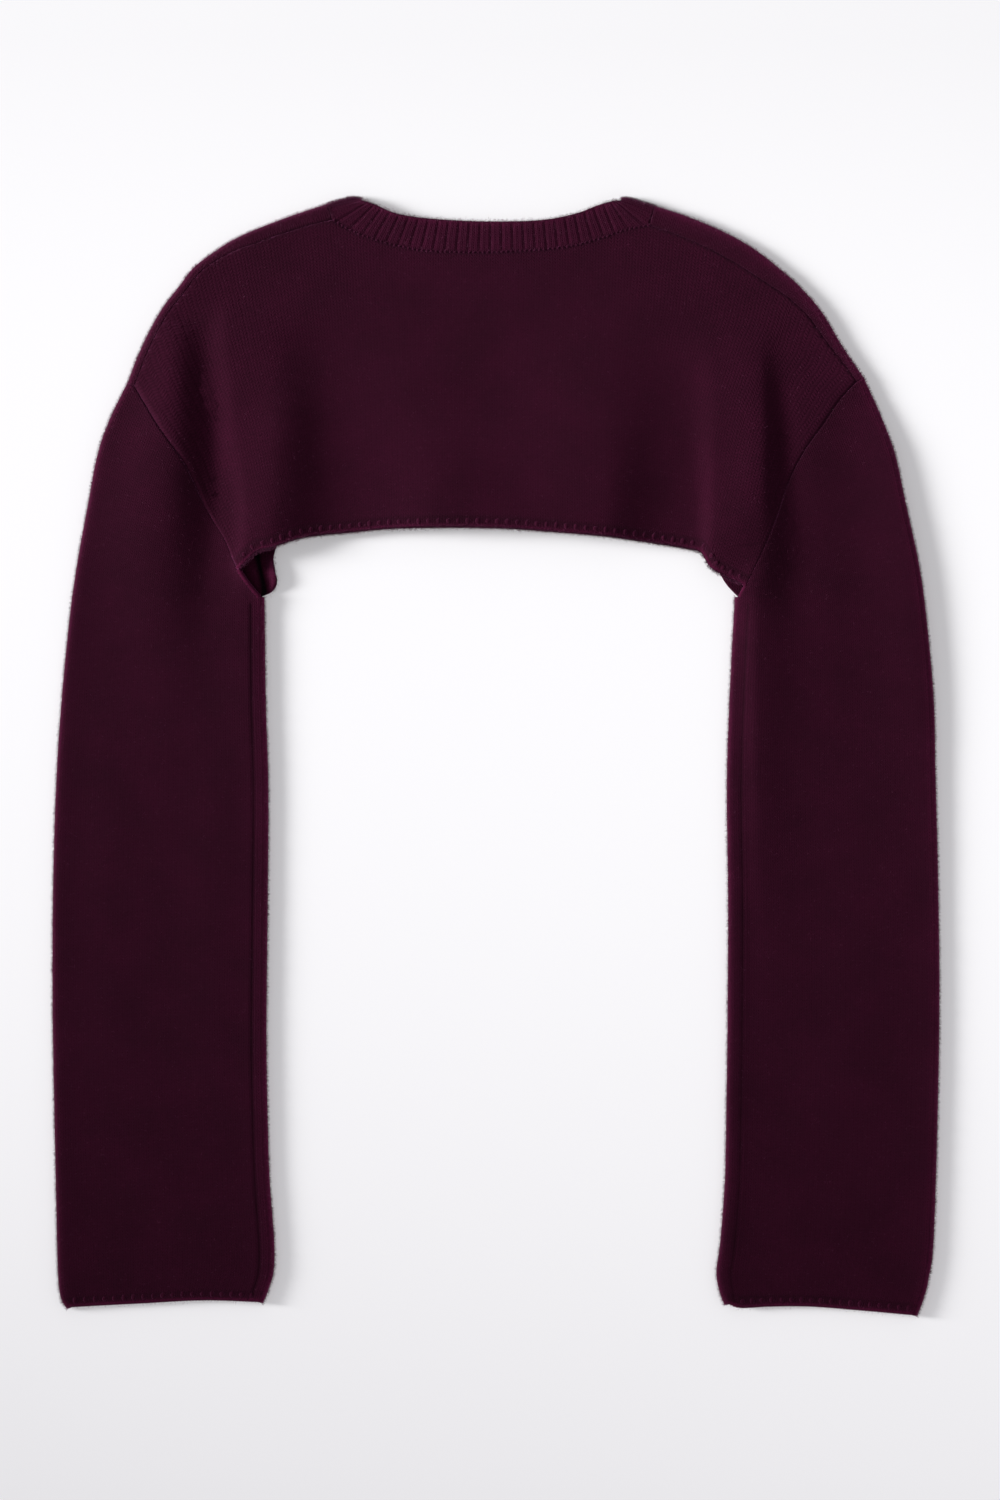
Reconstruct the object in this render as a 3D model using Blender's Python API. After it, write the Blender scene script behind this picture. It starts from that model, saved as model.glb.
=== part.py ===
"""A cropped knitted sweater with long sleeves, laid flat with its back up.

X runs to the right of the laid garment, Y from the cuffs towards the neck, and Z up from the
surface that it lies on. The origin is on that surface, under the middle of the whole garment.
Sizes are in millimetres until the meshes are made.
"""

import math
from collections import namedtuple

import bmesh
import bpy
import numpy as np

METRES = 0.001

# Cloth and how it lies
CLOTH = 2.4
SEAM_GAP = 0.3
REST_GAP = 1.3
LEAST_GAP = 0.4
MOST_GAP = 3.8
EDGE_HEIGHT = 7.6
EDGE_REACH = 13.0
LOWER = CLOTH / 2
FOLD_RADIUS = (EDGE_HEIGHT - CLOTH) / 2
FOLD_INSET = EDGE_HEIGHT / 2
LEAST_LIP = 2.4

# Neckband, hem and cuffs
BAND_AT_FOLD = 26.3
RIB_PITCH = 8.3
RIB_HEIGHT = 0.8
RIB_PROFILE = (0.0, 1.0, 0.85, 1.0)
EDGE_BAND = 5.0
EDGE_RAISE = 0.5
EDGE_BEVEL = 1.2
EDGE_THINNING = 0.6
LAID_FLAT = 0.05

# Mesh steps, and the rough lengths that set how close to an edge its bevel lies
ARMHOLE_LENGTH = 190.0
SLEEVE_LENGTH = 720.0
CURVE_STEPS = 12
SHOULDER_STEPS = 9
NECK_STEPS = 20
ARMHOLE_STEPS = 12
FREE_STEPS = 3
SLEEVE_STEPS = 14
SLEEVE_CLOSENESS = 1.25
SEAM_FADE = 0.55
CUFF_REACH = 0.2
UNDER_SHARES = (0.0, 0.3, 0.6, 0.82, 1.0)
TURN_STEPS = 4
BAND_ROWS = (0.0, 0.07, 0.36, 0.68, 0.93, 1.0)

Side = namedtuple("Side", "name sign shoulder outer inner cuff armhole corner seam_inset neck_free neck_base")
Fold = namedtuple("Fold", "start end half_width rise")

# Each side's edges, as places (out from the centre line, up from the garment's middle)
LEFT = Side(
    name="left",
    sign=-1,
    shoulder=((104, 431), (123, 426.5), (151, 417.5), (177, 408), (198, 399), (214, 389.5), (232, 376),
              (243, 362), (258, 342), (272.5, 314), (283.5, 286.5)),
    outer=((283.5, 286.5), (297, 259), (306.5, 231), (313.5, 194), (322, 148), (328, 105), (334, 43),
           (338, -18), (340.5, -95), (341, -188), (339.5, -280), (337.5, -373), (336.5, -403),
           (334.5, -417), (330, -425)),
    inner=((178, 122), (177, 43), (175, -26), (175.5, -111), (176.5, -211), (175.5, -280), (174, -326),
           (170.5, -373), (171, -396), (175, -410.5), (179, -420.5)),
    cuff=((330, -425), (273.5, -422), (224, -419.5), (179, -420.5)),
    armhole=((259.5, 254), (239.5, 224.5), (223.5, 191), (208.5, 166.5), (199.5, 146.5), (189.5, 131)),
    corner=0.86,
    seam_inset=((0, 13.0), (0.13, 11.3), (0.27, 10.6), (0.36, 8.6), (0.45, 6.8), (0.6, 6.2), (1, 6.2)),
    neck_free=((104, 431), (93, 423.5), (74, 416), (43, 412), (4, 410.5)),
    neck_base=((111, 403.5), (97, 398), (74, 391.5), (51, 388), (4, 387)),
)
RIGHT = Side(
    name="right",
    sign=1,
    shoulder=((97, 431), (110, 426.5), (139.5, 417.5), (164, 408), (183, 399), (199, 389.5), (216.5, 376),
              (232.5, 362), (250, 342), (267, 314), (283, 290.5)),
    outer=((283, 290.5), (297, 259), (307, 231), (315, 194), (325, 148), (331, 105), (336.5, 43),
           (338, -18), (340, -95), (341, -188), (339.5, -280), (336.5, -373), (332.5, -403),
           (329, -417), (324, -430.5)),
    inner=((183.5, 122), (179.5, 43), (177.5, -26), (178.5, -111), (178, -211), (177, -280), (176, -326),
           (172.5, -373), (169.5, -396), (171.5, -410.5), (175.5, -422)),
    cuff=((324, -430.5), (282, -427), (242, -424), (208, -424), (185, -425), (175.5, -422)),
    armhole=((265, 274), (252, 255), (238, 235.5), (226.5, 213.5), (215, 181.5), (203.5, 155), (193.5, 134)),
    corner=0.95,
    seam_inset=((0, 15.8), (0.2, 16.6), (0.4, 17.0), (0.58, 13.1), (0.68, 10.8), (0.78, 9.6), (0.91, 6.8),
                (1, 6.2)),
    neck_free=((97, 431), (80, 423.5), (61, 416.5), (34, 411.5)),
    neck_base=((98.5, 404), (78, 397), (49.5, 390.5)),
)
SIDES = (LEFT, RIGHT)

# Edges that cross the centre line, as places (across, up)
BACK_HEM = ((-183.5, 156.5), (-171.5, 160), (-147, 168), (-112.5, 172), (-74, 175), (-4.5, 175), (39, 172.5),
            (93, 167.5), (150, 159), (160, 154), (164, 146.5), (172.5, 140))
FRONT_HEM = ((-172.5, 127), (-168.5, 134), (-170, 142), (-171, 154), (-162.5, 169.5), (-128, 177),
             (-74, 181), (-4.5, 180), (80, 174), (141.5, 165.5), (160, 160), (169.5, 146.5),
             (174, 138), (178.5, 131))
FRONT_NECK_FREE = ((-85.5, 397), (-51, 369), (-4, 359), (43, 369), (78, 397))
FRONT_NECK_BASE = ((-112.5, 386), (-70, 348), (-4, 335), (62.5, 348), (104.5, 386))

# The largest folds of the upper layer
FOLDS = (
    Fold((-230, 345), (-231, 197), 8.5, -1.3),
    Fold((-231, 197), (-232, 89), 9.0, -0.9),
    Fold((-219, 328), (-208, 236), 9.0, 0.8),
    Fold((-208, 236), (-199.5, 156), 7.5, 1.7),
    Fold((-158.5, 316), (-139.5, 174), 22.0, -0.7),
    Fold((-197, 147), (-183, 126), 4.5, 1.6),
    Fold((211, 313), (214, 139), 8.0, -1.3),
    Fold((214, 139), (217, -72), 9.0, -0.9),
    Fold((158.5, 308), (161.5, 182), 12.0, 0.8),
    Fold((161.5, 182), (162.5, 150), 6.0, 1.6),
    Fold((118.5, 290), (142, 174), 22.0, -0.7),
    Fold((-300, 60), (-306, -250), 16.0, -0.5),
    Fold((250, -60), (262, -330), 20.0, -0.5),
)
# The front's corner, which shows beside the left underarm and curls up at its edge
FRONT_CURLS = (
    Fold((-169.5, 146), (-168.5, 132), 5.0, 2.2),
)

COLOURS = {
    "back_panel": (0.045, 0.008, 0.022),
    "front_panel": (0.040, 0.007, 0.020),
    "sleeve_left": (0.045, 0.008, 0.023),
    "sleeve_right": (0.045, 0.008, 0.023),
    "neckband": (0.048, 0.009, 0.024),
}


def along(line, shares):
    """Points at the given shares of a line's length."""
    steps = np.linalg.norm(np.diff(line, axis=0), axis=1)
    lengths = np.concatenate([[0.0], np.cumsum(steps)])
    wanted = np.asarray(shares) * lengths[-1]
    return np.column_stack([np.interp(wanted, lengths, values) for values in line.T])


def smooth(places):
    """A dense line along a smooth curve through the places."""
    knots = np.array(places, dtype=float)
    padded = np.vstack([2 * knots[0] - knots[1], knots, 2 * knots[-1] - knots[-2]])
    t = np.linspace(0, 1, CURVE_STEPS, endpoint=False)[:, None]
    stretches = []
    for before, start, end, after in zip(padded, padded[1:], padded[2:], padded[3:]):
        linear = (end - before) * t
        square = (2 * before - 5 * start + 4 * end - after) * t**2
        cube = (3 * start - before - 3 * end + after) * t**3
        stretches.append(start + (linear + square + cube) / 2)
    return np.vstack(stretches + [knots[-1:]])


def edge_shares(steps, length):
    """Even shares of a length, with one more close to each end for the bevel."""
    bevel = EDGE_BEVEL / length
    inner = np.linspace(0, 1, steps + 1)[1:-1]
    return np.concatenate([[0.0, bevel], inner, [1 - bevel, 1.0]])


def shares_of(line):
    """Each point's share of a line's length."""
    steps = np.linalg.norm(np.diff(line, axis=0), axis=1)
    return np.concatenate([[0.0], np.cumsum(steps)]) / steps.sum()


def length_of(line):
    return float(np.linalg.norm(np.diff(line, axis=0), axis=1).sum())


def mirrored(side, points):
    """Places given outwards from the centre line, as X and Y."""
    return np.asarray(points, dtype=float) * (side.sign, 1)


def inward(line):
    """Unit directions square to a line that runs from the neck down, towards the cloth on its inner side."""
    run = np.gradient(line, axis=0)
    run /= np.linalg.norm(run, axis=1)[:, None]
    return np.column_stack([run[:, 1], -run[:, 0]])


class FoldLine:
    """The middle line of the fold along an edge, which the upper and lower layers turn around."""

    def __init__(self, edge, towards):
        self.inwards = inward(edge) * towards
        self.line = edge + self.inwards * FOLD_INSET
        steps = np.linalg.norm(np.diff(edge, axis=0), axis=1)
        self.lengths = np.concatenate([[0.0], np.cumsum(steps)])

    def at(self, distances):
        """Places on the fold line and its inward directions, by distance along the edge."""
        places = np.column_stack([np.interp(distances, self.lengths, values) for values in self.line.T])
        inwards = np.column_stack([np.interp(distances, self.lengths, values) for values in self.inwards.T])
        return places, inwards / np.linalg.norm(inwards, axis=1)[:, None]


def outer_fold(side):
    """The fold line from the neck over the shoulder and down the sleeve, in X and Y."""
    edge = mirrored(side, np.vstack([smooth(side.shoulder)[:-1], smooth(side.outer)]))
    return FoldLine(edge, side.sign)


def inner_fold(side):
    """The fold line along the sleeve's inner edge, in X and Y."""
    return FoldLine(mirrored(side, smooth(side.inner)), -side.sign)


OUTER_FOLDS = {side.name: outer_fold(side) for side in SIDES}
INNER_FOLDS = {side.name: inner_fold(side) for side in SIDES}
SHOULDER_LENGTHS = {side.name: length_of(smooth(side.shoulder)) for side in SIDES}
FOLD_PLACES = np.vstack([fold.line for fold in (*OUTER_FOLDS.values(), *INNER_FOLDS.values())])


def fold_rise(places, folds):
    """How much the folds lift or sink the cloth at each place."""
    rise = np.zeros(len(places))
    for fold in folds:
        start = np.array(fold.start, dtype=float)
        run = np.array(fold.end) - start
        share = np.clip((places - start) @ run / (run @ run), 0, 1)
        off = np.linalg.norm(places - start - share[:, None] * run, axis=1)
        rise += fold.rise * np.exp(-((off / fold.half_width) ** 2))
    return rise


def upper_level(places):
    """Height of the middle of the upper layer, which rises to its folded edges."""
    off = np.array([np.linalg.norm(FOLD_PLACES - place, axis=1).min() for place in places])
    lying = LOWER + CLOTH + REST_GAP
    at_edge = LOWER + 2 * FOLD_RADIUS
    level = lying + (at_edge - lying) * np.exp(-((off / EDGE_REACH) ** 2)) + fold_rise(places, FOLDS)
    return np.clip(level, LOWER + CLOTH + LEAST_GAP, LOWER + CLOTH + MOST_GAP)


def on_top(places):
    return np.column_stack([places, upper_level(places)])


def below(places):
    """Points in the middle of the lower layer, which lies flat but for its curled corners."""
    return np.column_stack([places, LOWER + fold_rise(places, FRONT_CURLS)])


def below_flat(places):
    return np.column_stack([places, np.full(len(places), LOWER)])


def laid(places, layer):
    """A grid of places as points of one layer."""
    rows, columns = places.shape[:2]
    return layer(places.reshape(-1, 2)).reshape(rows, columns, 3)


def turn(place, inwards):
    """Points around a folded edge, from the upper layer to the lower one."""
    top = float(upper_level(place[None])[0])
    radius = (top - LOWER) / 2
    points = []
    for angle in np.linspace(math.pi, 0, TURN_STEPS + 1):
        plan = place - inwards * radius * math.sin(angle)
        points.append((*plan, LOWER + radius - radius * math.cos(angle)))
    return np.array(points)


def patch(top, bottom, left, right):
    """A smooth grid of places between four edges, with its rows running from left to right."""
    bottom = along(bottom, shares_of(top))
    u = shares_of(top)[None, :, None]
    v = shares_of(left)[:, None, None]
    edges = (1 - v) * top[None] + v * bottom[None] + (1 - u) * left[:, None] + u * right[:, None]
    corners = ((1 - v) * ((1 - u) * top[0] + u * top[-1]) + v * ((1 - u) * bottom[0] + u * bottom[-1]))
    return edges - corners


# Seams shared by two pieces, as places in X and Y

def shoulder_distances(side):
    """Steps along the shoulder's edge, from the armhole to the neckband."""
    start = SHOULDER_LENGTHS[side.name]
    shares = edge_shares(SHOULDER_STEPS, start - BAND_AT_FOLD)
    return start + (BAND_AT_FOLD - start) * shares


def shoulder_seam(side):
    """The shoulder seam on the upper layer, from the armhole to the neckband."""
    distances = shoulder_distances(side)
    places, inwards = OUTER_FOLDS[side.name].at(distances)
    shares = (distances - BAND_AT_FOLD) / (SHOULDER_LENGTHS[side.name] - BAND_AT_FOLD)
    table = smooth(side.seam_inset)
    inset = np.interp(shares, table[:, 0], table[:, 1]) - FOLD_INSET
    return places + inwards * inset[:, None]


def armhole_seam(side):
    """The armhole seam from the shoulder seam down to the underarm."""
    underarm = INNER_FOLDS[side.name].at([0.0])[0]
    return smooth([shoulder_seam(side)[0], *mirrored(side, side.armhole), *underarm])


def armhole_on_top(side):
    """Its places on the upper layer: those that hold the back, then the free rim to the underarm."""
    held = edge_shares(ARMHOLE_STEPS, ARMHOLE_LENGTH)
    held = np.insert(held, -2, 1 - EDGE_BAND / ARMHOLE_LENGTH) * side.corner
    free = np.linspace(side.corner, 1, FREE_STEPS + 1)[1:]
    return along(armhole_seam(side), np.concatenate([held, free]))


def armhole_below(side):
    """Its places on the lower layer, from the outer fold to the underarm."""
    place, inwards = OUTER_FOLDS[side.name].at([SHOULDER_LENGTHS[side.name]])
    seam = armhole_seam(side)
    return along(np.vstack([place, seam[CURVE_STEPS // 2:]]), UNDER_SHARES)


def neck_base_on_top():
    """The neckband's base on the back, from left to right."""
    left = mirrored(LEFT, LEFT.neck_base)
    right = mirrored(RIGHT, RIGHT.neck_base)[::-1]
    knots = [shoulder_seam(LEFT)[-1], *left, *right, shoulder_seam(RIGHT)[-1]]
    return along(smooth(knots), np.linspace(0, 1, NECK_STEPS + 1))


def band_fold(side, share):
    """The neckband's fold at the shoulder, by its share from the free edge to the base."""
    return OUTER_FOLDS[side.name].at([BAND_AT_FOLD * share])


def neck_curve_below(middle, share):
    """A line of the front neck, between its places in the middle and the two folds."""
    left = band_fold(LEFT, share)[0]
    right = band_fold(RIGHT, share)[0]
    return smooth([*left, *middle, *right])


# Cloth walls

class Cloth:
    """Points in the middle of a cloth wall, and the faces between them."""

    def __init__(self):
        self.points = []
        self.raised = []
        self.numbers = {}
        self.faces = []

    def number(self, point, raised):
        key = tuple(np.round(point, 3))
        if key not in self.numbers:
            self.numbers[key] = len(self.points)
            self.points.append(np.array(point, dtype=float))
            self.raised.append(raised)
        return self.numbers[key]

    def add(self, grid, raised=None):
        """Adds a grid of rows of points, with how far each stands out of the plain wall."""
        heights = np.zeros(grid.shape[:2]) if raised is None else raised
        numbers = [[self.number(point, lift) for point, lift in zip(row, lifts)]
                   for row, lifts in zip(grid, heights)]
        for row, after in zip(numbers, numbers[1:]):
            for a, b, c, d in zip(row, row[1:], after[1:], after):
                self.faces.append((a, b, c, d))

    def normals(self):
        points = np.array(self.points)
        totals = np.zeros_like(points)
        for a, b, c, d in self.faces:
            square = np.cross(points[c] - points[a], points[d] - points[b])
            for corner in (a, b, c, d):
                totals[corner] += square
        return totals / np.linalg.norm(totals, axis=1)[:, None]

    def rims(self):
        """Edges that only one face uses, in that face's direction."""
        used = {}
        for face in self.faces:
            for start, end in zip(face, face[1:] + face[:1]):
                used[(start, end)] = True
        return [(start, end) for start, end in used if (end, start) not in used]

    def inset(self, rims):
        """Draws the rim back by half a seam's gap, square to it and within the cloth."""
        normals = self.normals()
        moves = {}
        for start, end in rims:
            run = self.points[end] - self.points[start]
            for corner in (start, end):
                square = np.cross(normals[corner], run)
                moves[corner] = moves.get(corner, 0) + square / np.linalg.norm(square)
        for corner, move in moves.items():
            self.points[corner] += move / np.linalg.norm(move) * SEAM_GAP / 2

    def build(self, name, flip):
        """One closed wall with its two faces half the cloth's thickness from the middle points."""
        if flip:
            self.faces = [face[::-1] for face in self.faces]
        rims = self.rims()
        self.inset(rims)
        normals = self.normals()
        points = np.array(self.points)
        half = np.full(len(points), CLOTH / 2)
        for corner in {corner for edge in rims for corner in edge}:
            half[corner] *= EDGE_THINNING if normals[corner, 2] > 0 else 1.0
        outer = points + normals * (half + np.array(self.raised))[:, None]
        inner = points - normals * half[:, None]
        outer[outer[:, 2] < LAID_FLAT, 2] = 0.0
        count = len(points)
        faces = list(self.faces)
        faces += [tuple(corner + count for corner in face[::-1]) for face in self.faces]
        faces += [(end, start, start + count, end + count) for start, end in rims]
        return make_object(name, np.vstack([outer, inner]), faces)


def make_object(name, points, faces):
    """One named object of triangles, in metres."""
    mesh = bpy.data.meshes.new(name)
    mesh.from_pydata([tuple(point) for point in points * METRES], [], faces)
    form = bmesh.new()
    form.from_mesh(mesh)
    bmesh.ops.triangulate(form, faces=form.faces[:], quad_method="SHORT_EDGE")
    if form.calc_volume(signed=True) < 0:
        bmesh.ops.reverse_faces(form, faces=form.faces[:])
    form.to_mesh(mesh)
    form.free()
    mesh.shade_smooth()
    piece = bpy.data.objects.new(name, mesh)
    bpy.context.scene.collection.objects.link(piece)
    mesh.materials.append(wool(name))
    return piece


def wool(name):
    """Dark, soft knitted wool."""
    material = bpy.data.materials.new(name)
    material.use_nodes = True
    shader = material.node_tree.nodes["Principled BSDF"]
    shader.inputs["Base Color"].default_value = (*COLOURS[name], 1)
    shader.inputs["Roughness"].default_value = 0.92
    shader.inputs["Metallic"].default_value = 0.0
    return material


# The garment's pieces

def back_panel():
    """The upper body panel, between the shoulder seams, the neckband, the armholes and the hem."""
    left = armhole_on_top(LEFT)[:-FREE_STEPS]
    right = armhole_on_top(RIGHT)[:-FREE_STEPS]
    top = np.vstack([shoulder_seam(LEFT)[:-1], neck_base_on_top(), shoulder_seam(RIGHT)[::-1][1:]])
    places = patch(top, smooth([left[-1], *BACK_HEM, right[-1]]), left, right)
    raised = np.zeros(places.shape[:2])
    raised[-3:-1] = EDGE_RAISE
    cloth = Cloth()
    cloth.add(laid(places, on_top), raised)
    return cloth.build("back_panel", flip=True)


def shoulder_lip(side):
    """The front's strip that turns over the shoulder to the seam on top, from the seam to the lower layer."""
    places, inwards = OUTER_FOLDS[side.name].at(shoulder_distances(side))
    seam = on_top(shoulder_seam(side))
    turns = np.array([turn(place, direction) for place, direction in zip(places, inwards)])
    return np.concatenate([seam[None], turns.transpose(1, 0, 2)])


def front_panel():
    """The lower body panel, which lies flat and wraps over the shoulders to the seams on top."""
    neck = along(neck_curve_below(FRONT_NECK_BASE, 1.0), np.linspace(0, 1, NECK_STEPS + 1))
    lips = {side.name: shoulder_lip(side) for side in SIDES}
    left = armhole_below(LEFT)
    right = armhole_below(RIGHT)
    top = np.vstack([lips["left"][-1, :-1, :2], neck, lips["right"][-1, ::-1, :2][1:]])
    places = patch(top, smooth([left[-1], *FRONT_HEM, right[-1]]), left, right)
    cloth = Cloth()
    cloth.add(laid(places, below))
    cloth.add(lips["left"])
    cloth.add(lips["right"][:, ::-1])
    return cloth.build("front_panel", flip=False)


def sleeve_rows():
    """Shares down the sleeve, closer at the armhole and at the cuff's edge."""
    bevel = EDGE_BEVEL / SLEEVE_LENGTH
    band = EDGE_BAND / SLEEVE_LENGTH
    body = np.linspace(0, 1, SLEEVE_STEPS + 1)[1:] ** SLEEVE_CLOSENESS * (1 - 2 * band)
    return np.concatenate([[0.0, bevel], body, [1 - band, 1 - bevel, 1.0]])


def sleeve(side):
    """A long tube laid flat, from the slanted armhole to the open cuff."""
    top_seam = armhole_on_top(side)
    under_seam = armhole_below(side)
    outer = OUTER_FOLDS[side.name]
    inner = INNER_FOLDS[side.name]
    cuff = mirrored(side, smooth(side.cuff))
    shoulder = SHOULDER_LENGTHS[side.name]
    rings = []
    for share in sleeve_rows():
        (outer_place,), (outer_in,) = outer.at([shoulder + (outer.lengths[-1] - shoulder) * share])
        (inner_place,), (inner_in,) = inner.at([inner.lengths[-1] * share])
        start = outer_place + outer_in * LEAST_LIP
        top = between(top_seam, start, inner_place, cuff, share)
        under = between(under_seam, outer_place, inner_place, cuff, share)
        outer_turn = turn(outer_place, outer_in)
        inner_turn = turn(inner_place, inner_in)
        ring = np.vstack([on_top(top), inner_turn[1:-1], below_flat(under)[::-1], outer_turn[::-1][1:]])
        rings.append(np.vstack([ring, ring[:1]]))
    grid = np.array(rings)
    raised = np.zeros(grid.shape[:2])
    raised[-3:-1, :len(top)] = EDGE_RAISE
    cloth = Cloth()
    cloth.add(grid, raised)
    return cloth.build(f"sleeve_{side.name}", flip=side.sign > 0)


def between(seam, outer_place, inner_place, cuff, share):
    """One row of a sleeve's layer: the seam's shape fades into a straight row, and that into the cuff's."""
    across = shares_of(seam)[:, None]
    straight_seam = seam[0] + (seam[-1] - seam[0]) * across
    straight = outer_place + (inner_place - outer_place) * across
    edge = along(cuff, across[:, 0])
    straight_edge = cuff[0] + (cuff[-1] - cuff[0]) * across
    fade = max(0.0, 1 - share / SEAM_FADE) ** 2
    reach = max(0.0, 1 - (1 - share) / CUFF_REACH) ** 2
    return straight + (seam - straight_seam) * fade + (edge - straight_edge) * reach


def neckband():
    """The ribbed ring around the neck, folded at both shoulders, with its deeper front half below."""
    base_top, free_top = band_top(1.0), band_top(0.0)
    count = int(round(length_of(base_top) / RIB_PITCH))
    shares = np.linspace(0, 1, count * len(RIB_PROFILE) + 1)
    base_top, free_top = along(base_top, shares), along(free_top, shares)
    under_shares = np.linspace(0, 1, NECK_STEPS + 1)
    base_below = along(neck_curve_below(FRONT_NECK_BASE, 1.0), under_shares)
    free_below = along(neck_curve_below(FRONT_NECK_FREE, 0.0), under_shares)
    rows = []
    for share in BAND_ROWS:
        turns = [turn(*(values[0] for values in band_fold(side, share))) for side in SIDES]
        top = on_top(free_top + (base_top - free_top) * share)
        under = below_flat(free_below + (base_below - free_below) * share)
        ring = np.vstack([top[:-1], turns[1], under[::-1][1:-1], turns[0][:0:-1], top[:1]])
        rows.append(ring)
    grid = np.array(rows)
    raised = np.zeros(grid.shape[:2])
    raised[1:-1, :len(shares) - 1] = np.resize(RIB_PROFILE, len(shares) - 1) * RIB_HEIGHT
    cloth = Cloth()
    cloth.add(grid, raised)
    return cloth.build("neckband", flip=False)


def band_top(share):
    """One line of the neckband's upper half: its free edge at share 0, its base at share 1."""
    left = band_fold(LEFT, share)[0]
    right = band_fold(RIGHT, share)[0]
    if share:
        return np.vstack([left, neck_base_on_top(), right])
    middle = [*mirrored(LEFT, LEFT.neck_free[1:]), *mirrored(RIGHT, RIGHT.neck_free[1:])[::-1]]
    return smooth([*left, *middle, *right])


def main():
    for leftover in list(bpy.data.objects):
        bpy.data.objects.remove(leftover, do_unlink=True)
    front_panel()
    back_panel()
    for side in SIDES:
        sleeve(side)
    neckband()


main()
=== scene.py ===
"""The looks of a cropped knitted sweater that lies flat with its back up.

X runs to the right of the laid garment, Y from the cuffs towards the neck, and Z up. Sizes are in
millimetres until the meshes are made. Each wall of cloth replaces its plain solid with a finer one:
the outer face carries the stitches, the inner face stays plain.
"""

import math
from collections import namedtuple

import bpy
import numpy as np
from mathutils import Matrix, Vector, kdtree

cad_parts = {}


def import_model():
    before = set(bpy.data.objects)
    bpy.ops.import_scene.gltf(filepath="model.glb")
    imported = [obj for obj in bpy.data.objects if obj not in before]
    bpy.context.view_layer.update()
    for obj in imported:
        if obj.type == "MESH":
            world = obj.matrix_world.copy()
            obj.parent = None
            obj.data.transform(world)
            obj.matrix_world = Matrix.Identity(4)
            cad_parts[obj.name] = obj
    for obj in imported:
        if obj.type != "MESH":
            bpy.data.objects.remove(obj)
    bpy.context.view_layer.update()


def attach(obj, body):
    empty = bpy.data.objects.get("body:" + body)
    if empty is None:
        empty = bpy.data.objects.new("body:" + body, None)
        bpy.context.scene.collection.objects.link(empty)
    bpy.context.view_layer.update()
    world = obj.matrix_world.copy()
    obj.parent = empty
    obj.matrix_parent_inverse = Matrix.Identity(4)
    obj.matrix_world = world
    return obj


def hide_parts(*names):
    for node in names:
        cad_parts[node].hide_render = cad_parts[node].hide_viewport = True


METRES = 0.001
TINY = 1e-9

# The cloth's thickness, how far its pieces overlap at a seam, and the gaps between its two layers
CLOTH = 2.4
SEAM_OVERLAP = 0.5
REST_GAP = 2.2
LEAST_GAP = 0.4
SOFTENING = 0.5
LOWER = CLOTH / 2

# Folded edges: their height, and how far in from them the upper layer comes down to rest
EDGE_HEIGHT = 7.6
EDGE_REACH = 13.0
FOLD_RADIUS = (EDGE_HEIGHT - CLOTH) / 2
FOLD_INSET = EDGE_HEIGHT / 2

# Stitches, with two mesh columns to a wale and two mesh rows to a course. Their relief fades out
# near free edges and seams, and the outer face drops at the rims that face up.
BACK_WALE = 4.0
SLEEVE_WALE = 3.4
COURSE = 2.45
SLANT = 0.7
STITCH_RELIEF = 0.15
WALE_GROOVE = 0.12
EDGE_FADE = 5.0
SEAM_FLATTENING = 4.0
RIM_DROP = 0.55
RIM_FACING = 0.2

# The neckband's height at the shoulders, its ribs, and how its corners are rounded. A rib's valley,
# slope and split are shares of its width.
BAND_AT_FOLD = 26.3
BAND_COURSE = 2.2
BAND_FADE = 0.1
BAND_HIGHLIGHT = 0.9
BAND_RIM_DROP = 0.3
RIB_PITCH = 8.3
RIB_WALES = 3
RIB_RELIEF = 0.52
RIB_SINK = 0.5
# Painted shade in the valleys between the ribs
RIB_SHADE = 0.10
RIB_VALLEY = 0.04
RIB_SLOPE = 0.16
RIB_SPLIT = 0.3
RIB_SPLIT_REACH = 0.07
CORNER_ROUNDING = 2.5
CORNER_REACH = 4.0

# How the back's wales fan out towards the shoulders, and how far in its courses follow the armholes
FAN_START = 80.0
FAN_SOFTNESS = 22.0
FAN_TOP_WALE = 5.2
SIDE_PULL = 3.0

# How far up the sleeve the cuff's bow reaches, and the rows and the share of a row that the armhole
# keeps straight
CUFF_BOW_REACH = 60.0
HEAD_ROWS = 4
HEAD_MARGIN = 0.02
CROSSING_SLACK = 0.001

# Mesh steps
CURVE_STEPS = 12
PATH_STEP = 1.0
TURN_STEPS = 8
FAN_STEPS = 400
HELD_STEPS = 120
NECK_STEPS = 90
CUFF_STEPS = 60
UNDERARM_STEPS = 24
UNDER_COLUMNS = 16
FRONT_ROWS = (14, 30)
FRONT_FINE_SHARE = 0.25
LIP_STEP = 1.2
LIP_ROWS = 8
RIB_COLUMNS = 12
BAND_ROWS = 30
PLAIN_ROWS = 10
PLAIN_COLUMNS = 8
BAND_PLAIN_ROWS = 6
SAME_POINT = 0.001

Side = namedtuple("Side", "name sign shoulder outer inner beyond cuff armhole corner seam_inset "
                          "neck_free neck_base")

# Folds, the crease and the camera are placed in pixels of a picture that shows the garment from above
PIXEL = 0.77
PICTURE = (1000, 1500)
CENTRE_PIXEL = (496, 756)

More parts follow.
